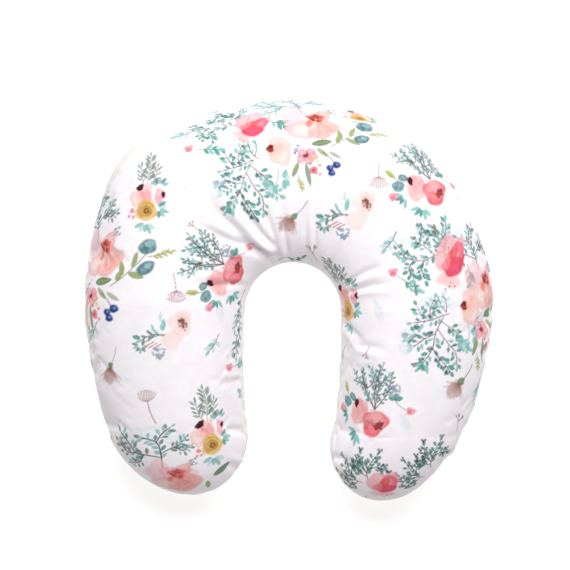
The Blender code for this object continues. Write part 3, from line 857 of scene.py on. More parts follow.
def poppy_bouquet(patch, extras, leafy):
    """A large peach poppy under leafy branches, with more flowers below it as extras."""
    for x, y in ((-60, 52), (-34, 58), (-62, 30), (-8, 56)):
        patch.petal(x, y, 15, 11, TEAL_PALE, 20, SKY, 0.22)
    stems = (
        ((-16, 12), (-21, 31), (-29, 46), (-45, 52)),
        ((-21, 31), (-11, 41), (-3, 48), (3, 58)),
        ((-20, 26), (-36, 30), (-50, 33), (-60, 45), (-72, 57)),
        ((-29, 46), (-26, 58), (-20, 67)),
        ((-50, 33), (-64, 34), (-76, 44)),
        ((-40, 31), (-46, 21), (-58, 17)),
        ((-9, 42), (4, 40), (12, 46)),
    )
    branch(patch, stems, (7.5, 3.9), 1, leafy, 11, thick=1.2, stalk=2.6)
    patch.cluster(22, 19, 8, 20, 1.5, (VIOLET, GREY_GREEN), 16)
    patch.petals(
        (-24, 4, 17, 18, ROSE, 10, PEACH_PALE, 0.55),
        (-16, -20, 20, 17, PEACH_PALE, 20, ROSE, 0.9),
        (9, 9, 13, 11, PEACH, 20, CORAL_PALE, 0.9),
        (9, -17, 20, 19, PEACH, -30, CORAL_PALE, 0.9),
        (-5, -10, 17, 13, PEACH_PALE, 15, None, 0.6),
        (12, -20, 12, 9, PEACH_DEEP, 35, None, 0.3),
    )
    patch.streaks(4, -4, 1.7, 27, PEACH_DEEP, -155, 7, 0.4)
    patch.streaks(-6, -4, 1.5, 24, PEACH_DEEP, 125, 5, 0.35)
    patch.petals(
        (2, 2, 10, 7.5, ORANGE, -10, CORAL_DEEP, 0.95, 0.16),
        (-6, -8, 4, 9, ORANGE, -20, None, 0.75),
    )
    patch.cluster(1, 3, 9, 26, 1.15, (DARK, MAROON), 17)
    if not extras:
        patch.petal(3, -2, 24, 15, CORAL, -10, None, 0.35)
        patch.leaf(46, -18, 14, 26, 10, TEAL_DARK, OLIVE)
        patch.leaf(37, -22, -80, 14, 6, OLIVE, OLIVE_PALE)
        return
    bud_stem(patch)
    pink_flower(patch)


def bud_stem(patch):
    """A stem with olive leaves and two large blue buds, to the lower right of the poppy."""
    blues = ((VIOLET, SKY), (BLUE, VIOLET))
    patch.sprig([(-14, -42), (-22, -52), (-24, -58)], (5, 2), 6, blues, 18, stem=VIOLET)
    patch.leaf(-3, -46, 14, 26, 10, TEAL_DARK, OLIVE)
    patch.leaf(-3, -46, 14, 26, 10, OLIVE, None, 0.45)
    patch.line([(1, -45), (10, -43), (19, -40)], 0.9, OLIVE_PALE, 0.8)
    patch.line([(22, -48), (38, -36), (60, -20), (64, -14)], 1.3, OLIVE)
    patch.leaves(
        (34, -37, 105, 17, 6.5, OLIVE, OLIVE_PALE),
        (44, -30, 65, 18, 6.5, OLIVE, OLIVE_PALE),
        (40, -35, -28, 20, 6.5, OLIVE, OLIVE_PALE),
        (30, -43, 95, 12, 6.5, OLIVE, OLIVE_PALE),
    )
    patch.petals(
        (65, -9, 11.5, 9.5, TEAL_BLUE, 20, None, 1.0, 0.05),
        (68, -6, 6, 4.5, TEAL_PALE, 20, None, 0.5, 0.05),
        (61, -13, 6, 4, TEAL_DARK, 20, None, 0.6, 0.05),
        (60, -34, 10, 7, TEAL_BLUE, 15, TEAL_DARK, 1.0, 0.05),
        (63, -32, 4.5, 3, TEAL_PALE, 15, None, 0.5, 0.05),
    )
    patch.sprig([(64, -22), (76, -22), (90, -20)], (7, 3), 8, LIMES, 19, stem=OLIVE, lean=35)


def pink_flower(patch):
    """A little pink flower with blue berries, red dots and long leaves, below the poppy."""
    for x, y in ((-15, -60), (-4, -59), (-16, -69), (-6, -71), (-1, -65)):
        patch.petal(x, y, 6.5, 6, ROSE, x * 9, CORAL, 0.9)
    patch.petal(-10, -64, 3.6, 2.6, DARK, 20, MAROON, 0.9)
    patch.cluster(-10, -64, 6, 9, 0.7, (MAROON,), 21)
    patch.leaf(4, -52, -40, 19, 6.5, KHAKI, OLIVE_PALE)
    patch.leaf(19, -56, -32, 19, 5.5, KHAKI, None, 0.8)
    patch.line([(12, -58), (22, -66), (27, -74)], 1.1, GREY_GREEN_DARK)
    for x, y, size in ((30, -76, 5.2), (22, -81, 4.6), (25, -88, 4.8)):
        patch.petal(x, y, size, size, BLUE, 0, None, 1.0, 0.04)
        patch.petal(x + 1, y + 1, 2, 1.8, VIOLET, 0, None, 0.8, 0.04)
    patch.cluster(3, -70, 5, 7, 1.4, (YELLOW_GREEN, MUSTARD), 22)
    patch.petals(
        (1, -86, 5.8, 5.6, CORAL, 0, CORAL_DEEP),
        (1, -86, 2, 2, MAROON, 0, None, 0.8),
    )
    patch.dots([(-4, -76), (9, -78), (10, -91)], 2.1, CORAL)
    patch.leaf(-20, -74, -108, 24, 7, KHAKI, OLIVE)
    patch.leaf(-10, -76, -76, 34, 6.5, OLIVE, GREY_GREEN)
    patch.sprig([(-20, -94), (-16, -104), (-14, -112)], (6, 3), 7, LIMES, 23, stem=OLIVE)


def pink_poppy(patch):
    """An upright pink poppy, side on."""
    patch.petals(
        (-7, 6, 13, 24, CORAL_PALE, -12, ROSE, 0.8, 0.06),
        (9, 10, 9, 22, CORAL_PALE, -14, ROSE, 0.8, 0.06),
        (1, -26, 15, 11, CORAL_PALE, 0, PEACH_PALE, 0.9, 0.12),
        (6, 0, 12, 24, CORAL, -16, ROSE_DEEP, 0.85, 0.06),
        (4, -9, 15, 12, ROSE_DEEP, 26, CORAL_DEEP, 0.85, 0.08),
        (2, 3, 4.5, 15, ORANGE, -20, CORAL_DEEP, 0.6, 0.05),
        (-8, -2, 7, 13, CORAL_PALE, 20, None, 0.55, 0.05),
    )
    patch.streaks(2, -22, 1.6, 36, ROSE_DEEP, -8, 6, 0.5)
    patch.cluster(2, -37, 9, 5, 1.0, (DARK,), 31)


def big_branch(patch):
    """A wide teal branch that hangs to the lower left from its stem."""
    stems = (
        ((0, 0), (-12, -4), (-24, -9), (-43, -13)),
        ((-7, -4), (-17, -24), (-21, -43), (-29, -57), (-36, -66)),
        ((-15, -19), (-3, -36), (9, -50), (11, -66)),
        ((-21, -43), (-14, -55), (-6, -64), (0, -72)),
        ((-31, -11), (-40, 6)),
        ((-24, -9), (-25, 4), (-20, 17)),
        ((-17, -25), (-32, -33), (-43, -42)),
        ((-10, -10), (5, -20), (13, -27)),
        ((1, -42), (16, -39), (26, -44)),
        ((-30, -32), (-42, -27), (-50, -32)),
    )
    branch(patch, stems, (7.6, 4.3), 1, TEALS, 41, (0, 4), stalk=3.2)
    leaf_fan(patch, -30, -62, (200, 225, 250, 280), (11, 4.6), TEALS, 3)
    fan_of_sprigs(patch, -4, 2, (95, 120), 20, (7, 3.2), 5, PALE_TEALS, 55)
    for x, y in ((-52, -28), (-54, -46), (-30, 14), (4, 12)):
        patch.petal(x, y, 8, 7, SKY, 0, None, 0.6)


def pale_leaves(patch):
    """A bunch of broad light-teal leaves."""
    broad = ((TEAL_PALE, TEAL), (TEAL, TEAL_PALE), (TEAL_PALE, SKY))
    leaf_fan(patch, -6, -2, (175, 215, 255, 295), (13, 7), broad, 1)
    leaf_fan(patch, 8, 4, (-80, -45, 25, 75), (12, 7), broad, 1)
    patch.line([(1, 16), (1, 6), (-2, -2)], 1.0, TWIG, 0.6)


def upper_branch(patch):
    """A smaller teal branch that spreads to the left and down."""
    stems = (
        ((22, -12), (8, -9), (-6, -16), (-24, -16)),
        ((22, -8), (14, 10), (6, 22)),
        ((16, 6), (22, 20), (24, 32)),
        ((6, -9), (-8, 2), (-18, 4)),
        ((-8, -16), (-12, -28), (-10, -38)),
        ((-20, -16), (-30, -14), (-38, -8)),
        ((-20, -17), (-26, -26), (-24, -36)),
        ((10, 14), (-2, 16), (-10, 24)),
    )
    branch(patch, stems, (7.4, 4), 0, TEALS, 61, (0, 3), stalk=2.6)
    patch.petals(
        (-30, 6, 8, 5, SKY, 0, None, 0.8),
        (-18, 22, 6, 5, SKY, 0, None, 0.7),
    )


def small_branch(patch):
    """A short, upright branch of dark teal leaves."""
    stems = (
        ((0, 0), (-3, 12), (0, 24), (6, 36)),
        ((-3, 10), (-12, 18), (-15, 30)),
        ((0, 18), (10, 22), (17, 20)),
        ((-2, 6), (-12, 8), (-20, 14)),
    )
    branch(patch, stems, (6.8, 3.9), 2, DARK_TEALS, 161, (3, 3), stalk=2.4)


def peach_flower(patch):
    """A small, pale peach flower with a brown centre."""
    patch.petals(
        (6, 7, 15, 14, PEACH, 20, PEACH_PALE, 0.7),
        (8, -8, 14, 15, PEACH_PALE, 10, PEACH, 0.85),
        (2, -1, 10, 12, PEACH, 0, None, 0.5),
        (-5, 2, 4.4, 6, MAROON, 0, None, 1.0),
    )
    patch.cluster(-4, 2, 6.5, 10, 1.0, (MAROON, ORANGE), 71)


def coral_pair(patch, heart_x, heart_y):
    """Two round coral flowers with a fine grey-teal branch above them."""
    leafy = TEALS[:2] + GREYS
    style = {"thick": 1.0, "stalk": 1.8}
    for x, y in ((-50, 44), (-30, 52), (-56, 24)):
        patch.petal(x, y, 12, 10, TEAL_PALE, 20, SKY, 0.20)
    fan_of_sprigs(patch, -10, 14, (170, 154, 138, 122, 106), 56, (5.2, 2.9), 13, leafy, 81, **style)
    for x, y, turns in ((-36, 27, (205, 165, 95)), (-28, 42, (165, 130, 85)), (-20, 30, (70, 110))):
        fan_of_sprigs(patch, x, y, turns, 21, (5.2, 2.8), 6, leafy, 181 + x, **style)
    foot = np.array([heart_x - 25.0, heart_y - 2])
    patch.leaves(
        (*foot, 60, 11, 6.5, TEAL_DARK, TEAL),
        (*foot, 115, 9, 6, TEAL_DARK, None),
        (*foot, 200, 8, 5, TEAL, TEAL_DARK),
    )
    patch.line([foot, foot + (12, -1), (heart_x, heart_y)], 0.9, GREY_GREEN_DARK, 0.7)
    heart(patch, heart_x, heart_y)
    patch.cluster(heart_x - 33, heart_y + 7, 9, 26, 1.5, (VIOLET, GREY_GREEN), 87)
    leaf_fan(patch, -34, -24, (190, 222, 255, 290), (13, 4.6), TEALS, 3)
    leaf_fan(patch, -8, -28, (215, 245, 275, 305, 335), (14, 4.8), TEALS, 3)
    coral_flowers(patch)
    patch.petals(
        (-45, -2, 6.5, 4.6, TEAL_DARK, 10, TEAL_BLUE, 0.9, 0.05),
        (-47, -15, 8, 7, TEAL_BLUE, 30, TEAL, 0.95, 0.05),
    )
    patch.sprig([(-50, -8), (-58, -6), (-64, -4)], (6, 3), 6, LIMES, 89, stem=OLIVE, lean=35)
    heart(patch, -48, -31)
    patch.line([(-44, -31), (-38, -31)], 0.8, GREY_GREEN_DARK, 0.6)


def coral_flowers(patch):
    """A pale flower with a dark eye, and a deeper coral one over it to the right."""
    patch.petals(
        (-27, -5, 12.5, 14, CORAL_PALE, 15, PEACH_PALE, 0.9),
        (-22, -15, 10, 9, CORAL_PALE, 0, PEACH, 0.85),
        (-25, 4, 10, 7, CORAL, 0, None, 0.55),
        (-35, -2, 3.6, 6, DARK, 30, None, 1.0),
    )
    patch.streaks(-32, -4, 1.3, 18, CORAL, -110, 4, 0.5)
    patch.petals(
        (1, 0, 15, 19, CORAL, -12, CORAL_DEEP, 0.95),
        (3, -10, 11, 9, CORAL_DEEP, 0, None, 0.45),
        (-4, 10, 9, 6, CORAL_PALE, 10, None, 0.7),
        (-6, -2, 6, 12, CORAL_PALE, -10, None, 0.4),
        (7, 2, 4, 8, MAROON, -14, None, 0.95),
        (6, 0, 2.4, 5, ORANGE, -14, None, 0.7),
    )
    patch.cluster(7, 2, 6, 11, 1.0, (DARK, MAROON), 88)
    patch.streaks(4, -2, 1.3, 17, CORAL_DEEP, 110, 4, 0.5)


def heart(patch, x, y):
    """A little pink flower head."""
    patch.petals(
        (x - 2.5, y + 1.5, 3.2, 3.2, ROSE, 0, ROSE_DEEP, 0.95),
        (x + 2.5, y + 2.5, 3.0, 3.6, ROSE, 0, ROSE_DEEP, 0.9),
        (x, y - 1.5, 3.2, 2.8, CORAL, 0, ROSE_DEEP, 0.85),
    )


def rose_group(patch):
    """A mustard rose with two small pink flowers, a fern and teal leaves."""
    fern = ((GREY_GREEN, GREY_GREEN_DARK), (KHAKI, GREY_GREEN), (GREY_GREEN_DARK, GREY_GREEN))
    style = {"stem": KHAKI, "lean": 44, "stalk": 1.6}
    patch.sprig([(0, 30), (2, 44), (3, 58), (2, 70)], (9, 2.5), 18, fern, 91, **style)
    patch.sprig([(-3, 32), (-8, 42), (-9, 56)], (8, 2.3), 9, fern, 92, **style)
    patch.sprig([(4, 32), (11, 42), (13, 54)], (8, 2.3), 9, fern, 94, **style)
    leaf_fan(patch, 17, 30, (150, 118, 86, 54, 22), (10, 4.2), TEAL_AND_GREY, 4)
    leaf_fan(patch, 15, 2, (72, 42, 12, -18, -48, -78), (13, 5), TEALS[:2] + PALE_TEALS[:2], 3)
    leaf_fan(patch, 0, -15, (-158, -128, -98, -68, -38), (14, 5), TEALS[:1] + PALE_TEALS[:2], 3)
    patch.petals(
        (-14, 16, 9, 10, PEACH_PALE, 20, CORAL_PALE, 0.9),
        (-3, 22, 11.5, 11, CORAL_PALE, 30, PEACH_PALE, 0.9),
        (1, 17, 6, 9, CORAL, 10, CORAL_PALE, 0.5),
        (-9, 30, 5.6, 4, DARK, 35, None, 1.0),
    )
    patch.streaks(-7, 26, 1.2, 15, CORAL, 190, 4, 0.5)
    patch.petals(
        (18, 20, 6.5, 7.5, CORAL_PALE, 10, ROSE, 0.9),
        (16, 14, 5.5, 5, CORAL_PALE, 0, ROSE, 0.8),
        (22, 20, 2.6, 4, DARK, 0, None, 1.0),
    )
    rose(patch)
    patch.petal(-19, 0, 3.0, 3.0, CORAL, 0, ROSE_DEEP)
    patch.dots([(-23, -7), (-17, -8)], 2.1, CORAL)


def rose(patch):
    """A mustard rose: rings of petals round a brown heart."""
    patch.petals(
        (0, 0, 14, 13.5, MUSTARD, 0, None, 1.0, 0.06),
        (0, 0, 8, 7.5, MUSTARD_DEEP, 0, None, 0.35, 0.06),
    )
    for i, (radius, turn) in enumerate(((10.5, 20), (8.2, 140), (6.0, 260), (3.8, 60))):
        arc = np.radians(turn + np.arange(0, 250, 25))
        points = np.stack([radius * np.cos(arc), 0.92 * radius * np.sin(arc)], 1)
        patch.line(points, 1.1, MUSTARD_DEEP, 0.60 - 0.05 * i)
    patch.petal(0.5, -0.5, 4.2, 3.6, MUSTARD_DEEP, 0, MAROON, 0.8)
    patch.cluster(0, 0, 4.5, 8, 0.8, (MAROON, MUSTARD), 96)


def blossom_spray(patch):
    """Two pale blooms with twigs of leaves to their lower left."""
    patch.petals(
        (2, 2, 14, 16, PEACH_PALE, 0, None, 0.8),
        (-9, -20, 13.5, 12, PEACH_PALE, 15, None, 0.8),
        (4, 3, 8, 11, PEACH, 0, PEACH_PALE, 0.5),
        (4, 2, 3, 6.5, MAROON, 10, None, 0.95),
    )
    patch.cluster(4, -1, 8, 16, 1.0, (MAROON, DARK), 101)
    patch.line([(-20, -13), (-30, -14), (-46, -22)], 1.0, TWIG)
    patch.sprig([(-20, -14), (-34, -12), (-48, -18)], (9, 3.6), 7, TEAL_AND_GREY, 102)
    patch.leaves(
        (-22, -8, 80, 16, 6, TEAL, TEAL_PALE),
        (-24, 4, 84, 13, 4, TEAL_PALE, SKY, 0.8),
        (-32, -8, 110, 11, 3.6, TEAL, TEAL_PALE),
        (-50, -16, 165, 11, 6, TEAL_DARK, TEAL),
    )
    leaf_fan(patch, -50, -26, (165, 200, 235, 270, 305, 340), (9, 3.8), GREYS[:1] + TEALS[:1], 3)
    for shift in (0, 5, 10):
        patch.line([(-44 + shift, -28 - shift / 3), (-33 + shift, -22 - shift / 3)], 1.3, TWIG_RED)
    patch.cluster(-25, -36, 9, 28, 1.5, (VIOLET, GREY_GREEN, VIOLET), 104)


def dandelion(patch, lean, drop, hang):
    """A seed head of fine lines on a stem that goes from its hub by (lean, drop)."""
    side = 1 if hang else -1
    patch.line([(0, 0), (lean * 0.4, drop * 0.5), (lean, drop)], 1.0, DUSK, 0.85)
    patch.petal(0, side * 7, 10, 6.5, DUSK_PALE, 0, None, 0.35)
    for place in range(-4, 5):
        out, fall = place * 2.9, side * (14 - 0.25 * place * place)
        ribs = [(out * math.sin(t), fall * (1 - math.cos(t))) for t in np.linspace(0.15, 1.57, 4)]
        patch.line([(0, 0), *ribs], 0.8, DUSK, 0.6)
        patch.dots([(out, fall)], 1.0, DUSK, 0.4)


def thistle(patch, turn):
    """A faded brush of rosy lines with a green calyx. turn is the way its stem goes."""
    up = heading(turn)
    patch.line([up * 8, up * 20 + (2, 0), up * 34], 1.1, OLIVE, 0.8)
    dice = np.random.default_rng(131)
    patch.petal(*(up * -6), 12, 10, DUSK_PALE, turn, None, 0.85)
    for swing in range(-52, 53, 4):
        tip = up * 6 + dice.uniform(15, 26) * heading(turn + 180 + swing)
        patch.line([up * 5, tip], 2.0, DUSK if swing % 3 else TWIG_RED, 0.34, taper=True)
    patch.petal(*(up * 8), 4.4, 4, OLIVE, turn, TEAL_DARK, 0.9)


def small_sprig(patch):
    """A few broad leaves on a short stem."""
    patch.sprig([(10, 12), (6, 2), (-2, -8)], (10, 4.6), 6, TEAL_AND_PALE, 111, lean=55)
    patch.line([(12, 14), (10, 10)], 0.8, TWIG, 0.6)


def bright_sprig(patch):
    """Bright green leaves on a level stem."""
    patch.sprig([(-14, 0), (0, 1), (14, 0)], (11, 5), 7, BRIGHT, 122, stem=TEAL_DARK, lean=42)


def heart_and_sprig(patch, turn):
    """A little pink head whose stem runs into a bright green sprig."""
    heart(patch, 0, 0)
    way = heading(turn)
    patch.line([way * 5, way * 14], 0.8, GREY_GREEN_DARK, 0.7)
    patch.sprig([way * 14, way * 24, way * 36], (11, 5), 6, BRIGHT, 121, stem=TEAL_DARK, lean=40)


def twig(patch, turn, size=1.0):
    """A small forked twig with buds."""
    for swing in (-38, 0, 30):
        tip = 11 * size * heading(turn + swing)
        patch.line([(0, 0), tip], 0.9, DUSK, 0.75)
        patch.petal(*tip, 2.8 * size, 1.8 * size, DUSK, turn + swing, TWIG, 0.6)
    patch.line([(0, 0), -16 * size * heading(turn)], 0.9, DUSK, 0.75)


def twig_up(patch):
    """A twig that stands nearly upright, for the walls."""
    twig(patch, 70)


def smudge(patch):
    """A faint wash of sky blue."""
    patch.petals(
        (0, 2, 5, 11, SKY, 8, None, 0.55),
        (5, -6, 4, 10, SKY, -6, None, 0.4),
    )


# Where each motif lies as the camera sees it, in metres, with its turn in degrees.
# A bouquet's third number squashes it where the cloth turns away from the camera. Then come
# whether it has its extras and the colours of its leaves.
BOUQUETS = (
    (-0.242, 0.069, 1, True, GREY_TEALS),
    (0.034, 0.238, 0.82, True, PALE_TEALS),
    (0.2585, 0.026, 1, True, GREY_TEALS),
    (-0.1475, -0.230, 0.9, False, GREY_TEALS),
)
# Each branch with its poppy, peach flower and upper branch, from the branch's own place.
BRANCHES = (
    ((-0.039, 0.187), (-0.011, 0.043, -34, 0.72), (0.021, 0.010), (-0.047, 0.045, 0.72)),
    ((0.2115, -0.018), (0.002, 0.072, -6, 1.0), (0.023, 0.010), (-0.027, 0.088, 1.0)),
)
# A coral pair's last two numbers are its little heart's place in its own millimetres.
CORAL_PAIRS = (
    (-0.0705, 0.038, 18, 31, 22),
    (0.1906, 0.1436, -22, 28, 30),
    (0.109, -0.1606, -40, 24, 43),
)
# A rose group's last number squashes it.
ROSE_GROUPS = (
    (-0.188, 0.1175, 0, 1),
    (-0.099, -0.1906, 17, 1),
    (0.0757, -0.013, 0, 1),
    (0.0927, 0.239, 0, 0.5),
)
SMALL_BRANCHES = (
    (0.103, -0.237, -8),
    (0.096, -0.240, 62),
    (0.187, -0.220, -6),
    (0.178, -0.232, 58),
)
BLOSSOMS = ((-0.141, -0.0326, 0), (0.0992, 0.124, 0))
DANDELIONS = (
    (-0.1854, -0.133, 14, -27, True),
    (-0.1449, 0.0117, -4, 22, False),
    (0.1175, 0.1619, 1, 18, False),
)
THISTLES = ((0.0039, 0.1018, 50), (-0.234, -0.094, 80), (0.2219, -0.1136, 50))
HEARTS = ((-0.1305, 0.1984, -2), (0.1345, 0.0352, -32), (-0.0757, -0.0901, 4))
BRIGHT_SPRIGS = ((-0.0157, 0.2315, -22), (0.2376, 0.0326, -80))
SPRIGS = (
    (-0.0992, -0.0587, 0),
    (0.1279, 0.0757, 0),
    (-0.1397, 0.2190, -39),
    (0.246, -0.118, 20),
)
# A twig's last number is its size.
TWIGS = (
    (-0.1227, 0.0966, 140, 0.55),
    (0.0326, 0.0587, 110, 1),
    (0.1005, -0.0679, 250, 0.6),
    (0.223, -0.160, 80, 0.8),
)
SMUDGES = (
    (-0.1384, 0.1514),
    (-0.0849, 0.141),
    (-0.0888, -0.0157),
    (0.1593, 0.111),
    (0.1149, -0.013),
    (0.1527, -0.1645),
    (0.2193, 0.1371),
)


# What goes on the walls: round the back by angle and height, and along the arms by place.
BACK_WALL_ANGLES = (14, 36, 50, 66, 112, 126, 150, 172)
BACK_WALL_HEIGHTS = (0.094, 0.100, 0.090)
BACK_WALL_MOTIFS = (small_sprig, twig_up, pale_leaves, small_sprig)
ARM_WALL_HEIGHT = 0.094
ARM_WALL_MOTIFS = (
    (-0.262, -0.10, pale_leaves),
    (0.262, -0.07, small_sprig),
    (0.255, -0.13, pale_leaves),
    (-0.235, -0.19, small_sprig),
    (0.10, -0.262, small_sprig),
    (-0.052, -0.12, pale_leaves),
    (0.070, -0.07, small_sprig),
)


def paint_print(plan, grid):
    """The colour of the whole print, with painted shade along the seam: what comes later lies over
    what comes before.
    """
    paint = Paint(plan, grid)
    for x, y in SMUDGES:
        smudge(paint.at(x, y, 22))
    for (x, y), _, _, (over_x, over_y, tall) in BRANCHES:
        big_branch(paint.at(x, y, 95))
        pale_leaves(paint.at(x + 0.026, y - 0.034, 30))
        upper_branch(paint.at(x + over_x, y + over_y, 66, 0, tall))
    for x, y, turn, *heart_place in CORAL_PAIRS:
        coral_pair(paint.at(x, y, 92, turn), *heart_place)
    for x, y, turn, tall in ROSE_GROUPS:
        rose_group(paint.at(x, y, 84, turn, tall))
    for x, y, turn in BLOSSOMS:
        blossom_spray(paint.at(x, y, 84, turn))
    for x, y, lean, drop, hang in DANDELIONS:
        dandelion(paint.at(x, y, 40), lean, drop, hang)
    for x, y, turn in THISTLES:
        thistle(paint.at(x, y, 48), turn)
    for x, y, turn in HEARTS:
        heart_and_sprig(paint.at(x, y, 56), turn)
    for x, y, turn in BRIGHT_SPRIGS:
        bright_sprig(paint.at(x, y, 40, turn))
    for x, y, turn in SPRIGS:
        small_sprig(paint.at(x, y, 28, turn))
    for x, y, turn, size in TWIGS:
        twig(paint.at(x, y, 28), turn, size)
    for x, y, tall, extras, leafy in BOUQUETS:
        poppy_bouquet(paint.at(x, y, 125, 0, tall), extras, leafy)
    for (x, y), (poppy_x, poppy_y, turn, tall), (peach_x, peach_y), _ in BRANCHES:
        pink_poppy(paint.at(x + poppy_x, y + poppy_y, 54, turn, tall))
        peach_flower(paint.at(x + peach_x, y + peach_y, 36, 0, 0.5 + 0.5 * tall))
    for x, y, turn in SMALL_BRANCHES:
        small_branch(paint.at(x, y, 50, turn))
    pink_poppy(paint.at(0.1215, -0.243, 50, 0, 0.62))
    paint_edges(paint)
    # Painted shade: the print is darkened along the groove of the seam.
    paint.paint_seam_shade()
    return paint.colour


def paint_edges(paint):
    """What lies at the edges and low on the walls, where the camera sees little of it."""
    peach_flower(paint.on_wall(-0.267, -0.018, 0.104, 36))
    small_sprig(paint.at(-0.258, -0.040, 28))
    inner = paint.at(-0.064, -0.032, 66)
    stem = [(6, 46), (2, 20), (4, -8), (-2, -40)]
    inner.sprig(stem, (8, 4.4), 18, TEALS, 141, berries=4, stalk=2.6)
    inner.sprig([(2, 18), (-8, 8), (-10, -4)], (7.5, 4), 6, PALE_TEALS, 142, stalk=2)
    inner.sprig([(4, -8), (-6, -20), (-8, -32)], (7.5, 4), 6, TEALS, 144, stalk=2)
    low = paint.on_wall(0.004, 0.046, 0.112, 44)
    low.sprig([(-18, 2), (-6, 6), (4, 2), (12, 8)], (7, 3.6), 8, TEALS, 143, berries=3)
    for i, angle in enumerate(BACK_WALL_ANGLES):
        reach = BACK_RADIUS + BULGE * float(hump(angle, BULGE_ANGLE, BULGE_REACH))
        x, y = BACK_CENTRE + reach * heading(angle)
        z = BACK_WALL_HEIGHTS[i % len(BACK_WALL_HEIGHTS)]
        motif = BACK_WALL_MOTIFS[i % len(BACK_WALL_MOTIFS)]
        motif(paint.on_wall(x, y, z, 30))
    for x, y, motif in ARM_WALL_MOTIFS:
        motif(paint.on_wall(x, y, ARM_WALL_HEIGHT, 40))


# --- Materials ----------------------------------------------------------------------------------


class Shade:
    """A material in the making. Names of sockets have _ for each space."""

    def __init__(self, name, **sockets):
        self.made = bpy.data.materials.new(name)
        self.made.use_nodes = True
        self.shader = self.made.node_tree.nodes["Principled BSDF"]
        self.feed(self.shader, sockets)

    def feed(self, node, sockets):
        """Gives sockets their values, or links them to outputs of other nodes."""
        for name, value in sockets.items():
            socket = node.inputs[name.replace("_", " ")]
            if isinstance(value, bpy.types.NodeSocket):
                self.made.node_tree.links.new(value, socket)
            else:
                socket.default_value = value

    def node(self, kind, **sockets):
        node = self.made.node_tree.nodes.new("ShaderNode" + kind)
        self.feed(node, sockets)
        return node

    def place(self):
        """Coordinates of the object itself, in metres."""
        return self.node("TexCoord").outputs["Object"]

    def attribute(self, name, output):
        """An output of the mesh's own attribute of that name."""
        node = self.node("Attribute")
        node.attribute_name = name
        return node.outputs[output]

    def noise(self, source, scale, detail=3):
        return self.node("TexNoise", Scale=scale, Detail=detail, Vector=source).outputs["Fac"]

    def bands(self, source, scale, direction):
        """Slightly uneven stripes, for threads."""
        uneven = {"Distortion": 0.6, "Detail": 1, "Detail_Scale": 0.5}
        node = self.node("TexWave", Scale=scale, **uneven, Vector=source)
        node.bands_direction = direction
        return node.outputs["Fac"]

    def math(self, operation, first, second):
        node = self.node("Math")
        node.operation = operation
        for socket, value in zip(node.inputs, (first, second)):
            if isinstance(value, bpy.types.NodeSocket):
                self.made.node_tree.links.new(value, socket)
            else:
                socket.default_value = value
        return node.outputs[0]

    def ramp(self, factor, low, high, start=0.3, end=0.7):
        """A mix of two colours: low up to start, high from end on."""
        node = self.node("ValToRGB", Fac=factor)
        for stop, place, colour in zip(node.color_ramp.elements, (start, end), (low, high)):
            stop.position = place
            stop.color = (*colour, 1)
        return node.outputs["Color"]

    def finish(self, colour, *heights):
        """Colours the shader and bumps it: (height output, strength, distance in metres)."""
        self.feed(self.shader, {"Base_Color": colour})
        under = {}
        for height, strength, distance in heights:
            node = self.node("Bump", Strength=strength, Distance=distance, Height=height, **under)
            under = {"Normal": node.outputs["Normal"]}
        self.feed(self.shader, under)
        return self.made


def cotton(name, low, high, printed=False):
    """Soft woven cotton, with threads, slubs and faint mottling."""
    shade = Shade(
        name, Roughness=0.88, Sheen_Weight=0.12, Sheen_Roughness=0.45, Specular_IOR_Level=0.18
    )
    place = shade.place()
    colour = shade.ramp(shade.noise(place, 55), low, high)
    if printed:
        mix = shade.node("Mix")
        mix.data_type, mix.blend_type = "RGBA", "MULTIPLY"
        shade.feed(mix, {"Factor": 1, "A": shade.attribute("print", "Color"), "B": colour})
        colour = mix.outputs["Result"]
    cloth = shade.attribute("cloth", "Vector")
    threads = shade.math("ADD", *(shade.bands(cloth, 480, axis) for axis in "XY"))
    slubs = shade.noise(cloth, 900, 2)
    soft = shade.noise(place, 130, 4)
    return shade.finish(
        colour, (soft, 0.30, 0.0010), (slubs, 0.25, 0.0003), (threads, 0.22, 0.0002)
    )


def woven(name, low, high, scale, roughness=0.75, sheen=0.1, depth=0.0003):
    """A flat woven band or label: fine ribs with crossing threads."""
    shade = Shade(name, Roughness=roughness, Sheen_Weight=sheen)
    place = shade.place()
    ribs = shade.bands(place, scale, "DIAGONAL")
    threads = shade.math("MULTIPLY", ribs, shade.bands(place, scale * 1.7, "Z"))
    return shade.finish(shade.ramp(threads, low, high, 0.0, 0.8), (threads, 0.5, depth))


def fleece(name, low, high, scale):
    """Felted or loose fibre."""
    shade = Shade(name, Roughness=0.95, Sheen_Weight=0.2)
    fibres = shade.noise(shade.place(), scale, 6)
    return shade.finish(shade.ramp(fibres, low, high), (fibres, 0.7, 0.002))


def nylon():
    """Slightly clouded plastic, for the coil and the stops."""
    shade = Shade("zip_nylon", Roughness=0.36, Subsurface_Weight=0.08, Subsurface_Scale=0.001)
    cloud = shade.noise(shade.place(), 700, 2)
    colour = shade.ramp(cloud, (0.80, 0.78, 0.74), (0.88, 0.87, 0.84))
    return shade.finish(colour, (cloud, 0.15, 0.0001))


def enamel():
    """Off-white enamel on cast metal, a little uneven, with patches of wear."""
    shade = Shade("slider_enamel", Coat_Weight=0.35, Coat_Roughness=0.18, Metallic=0.15)
    place = shade.place()
    peel, wear = shade.noise(place, 900, 2), shade.noise(place, 350, 5)
    colour = shade.ramp(wear, (0.72, 0.70, 0.66), (0.83, 0.82, 0.79), 0.30, 0.42)
    shade.feed(shade.shader, {"Roughness": shade.math("MULTIPLY_ADD", wear, 0.3)})
    return shade.finish(colour, (peel, 0.12, 0.0001))


# --- Small meshes: tubes, plates, stitches ------------------------------------------------------


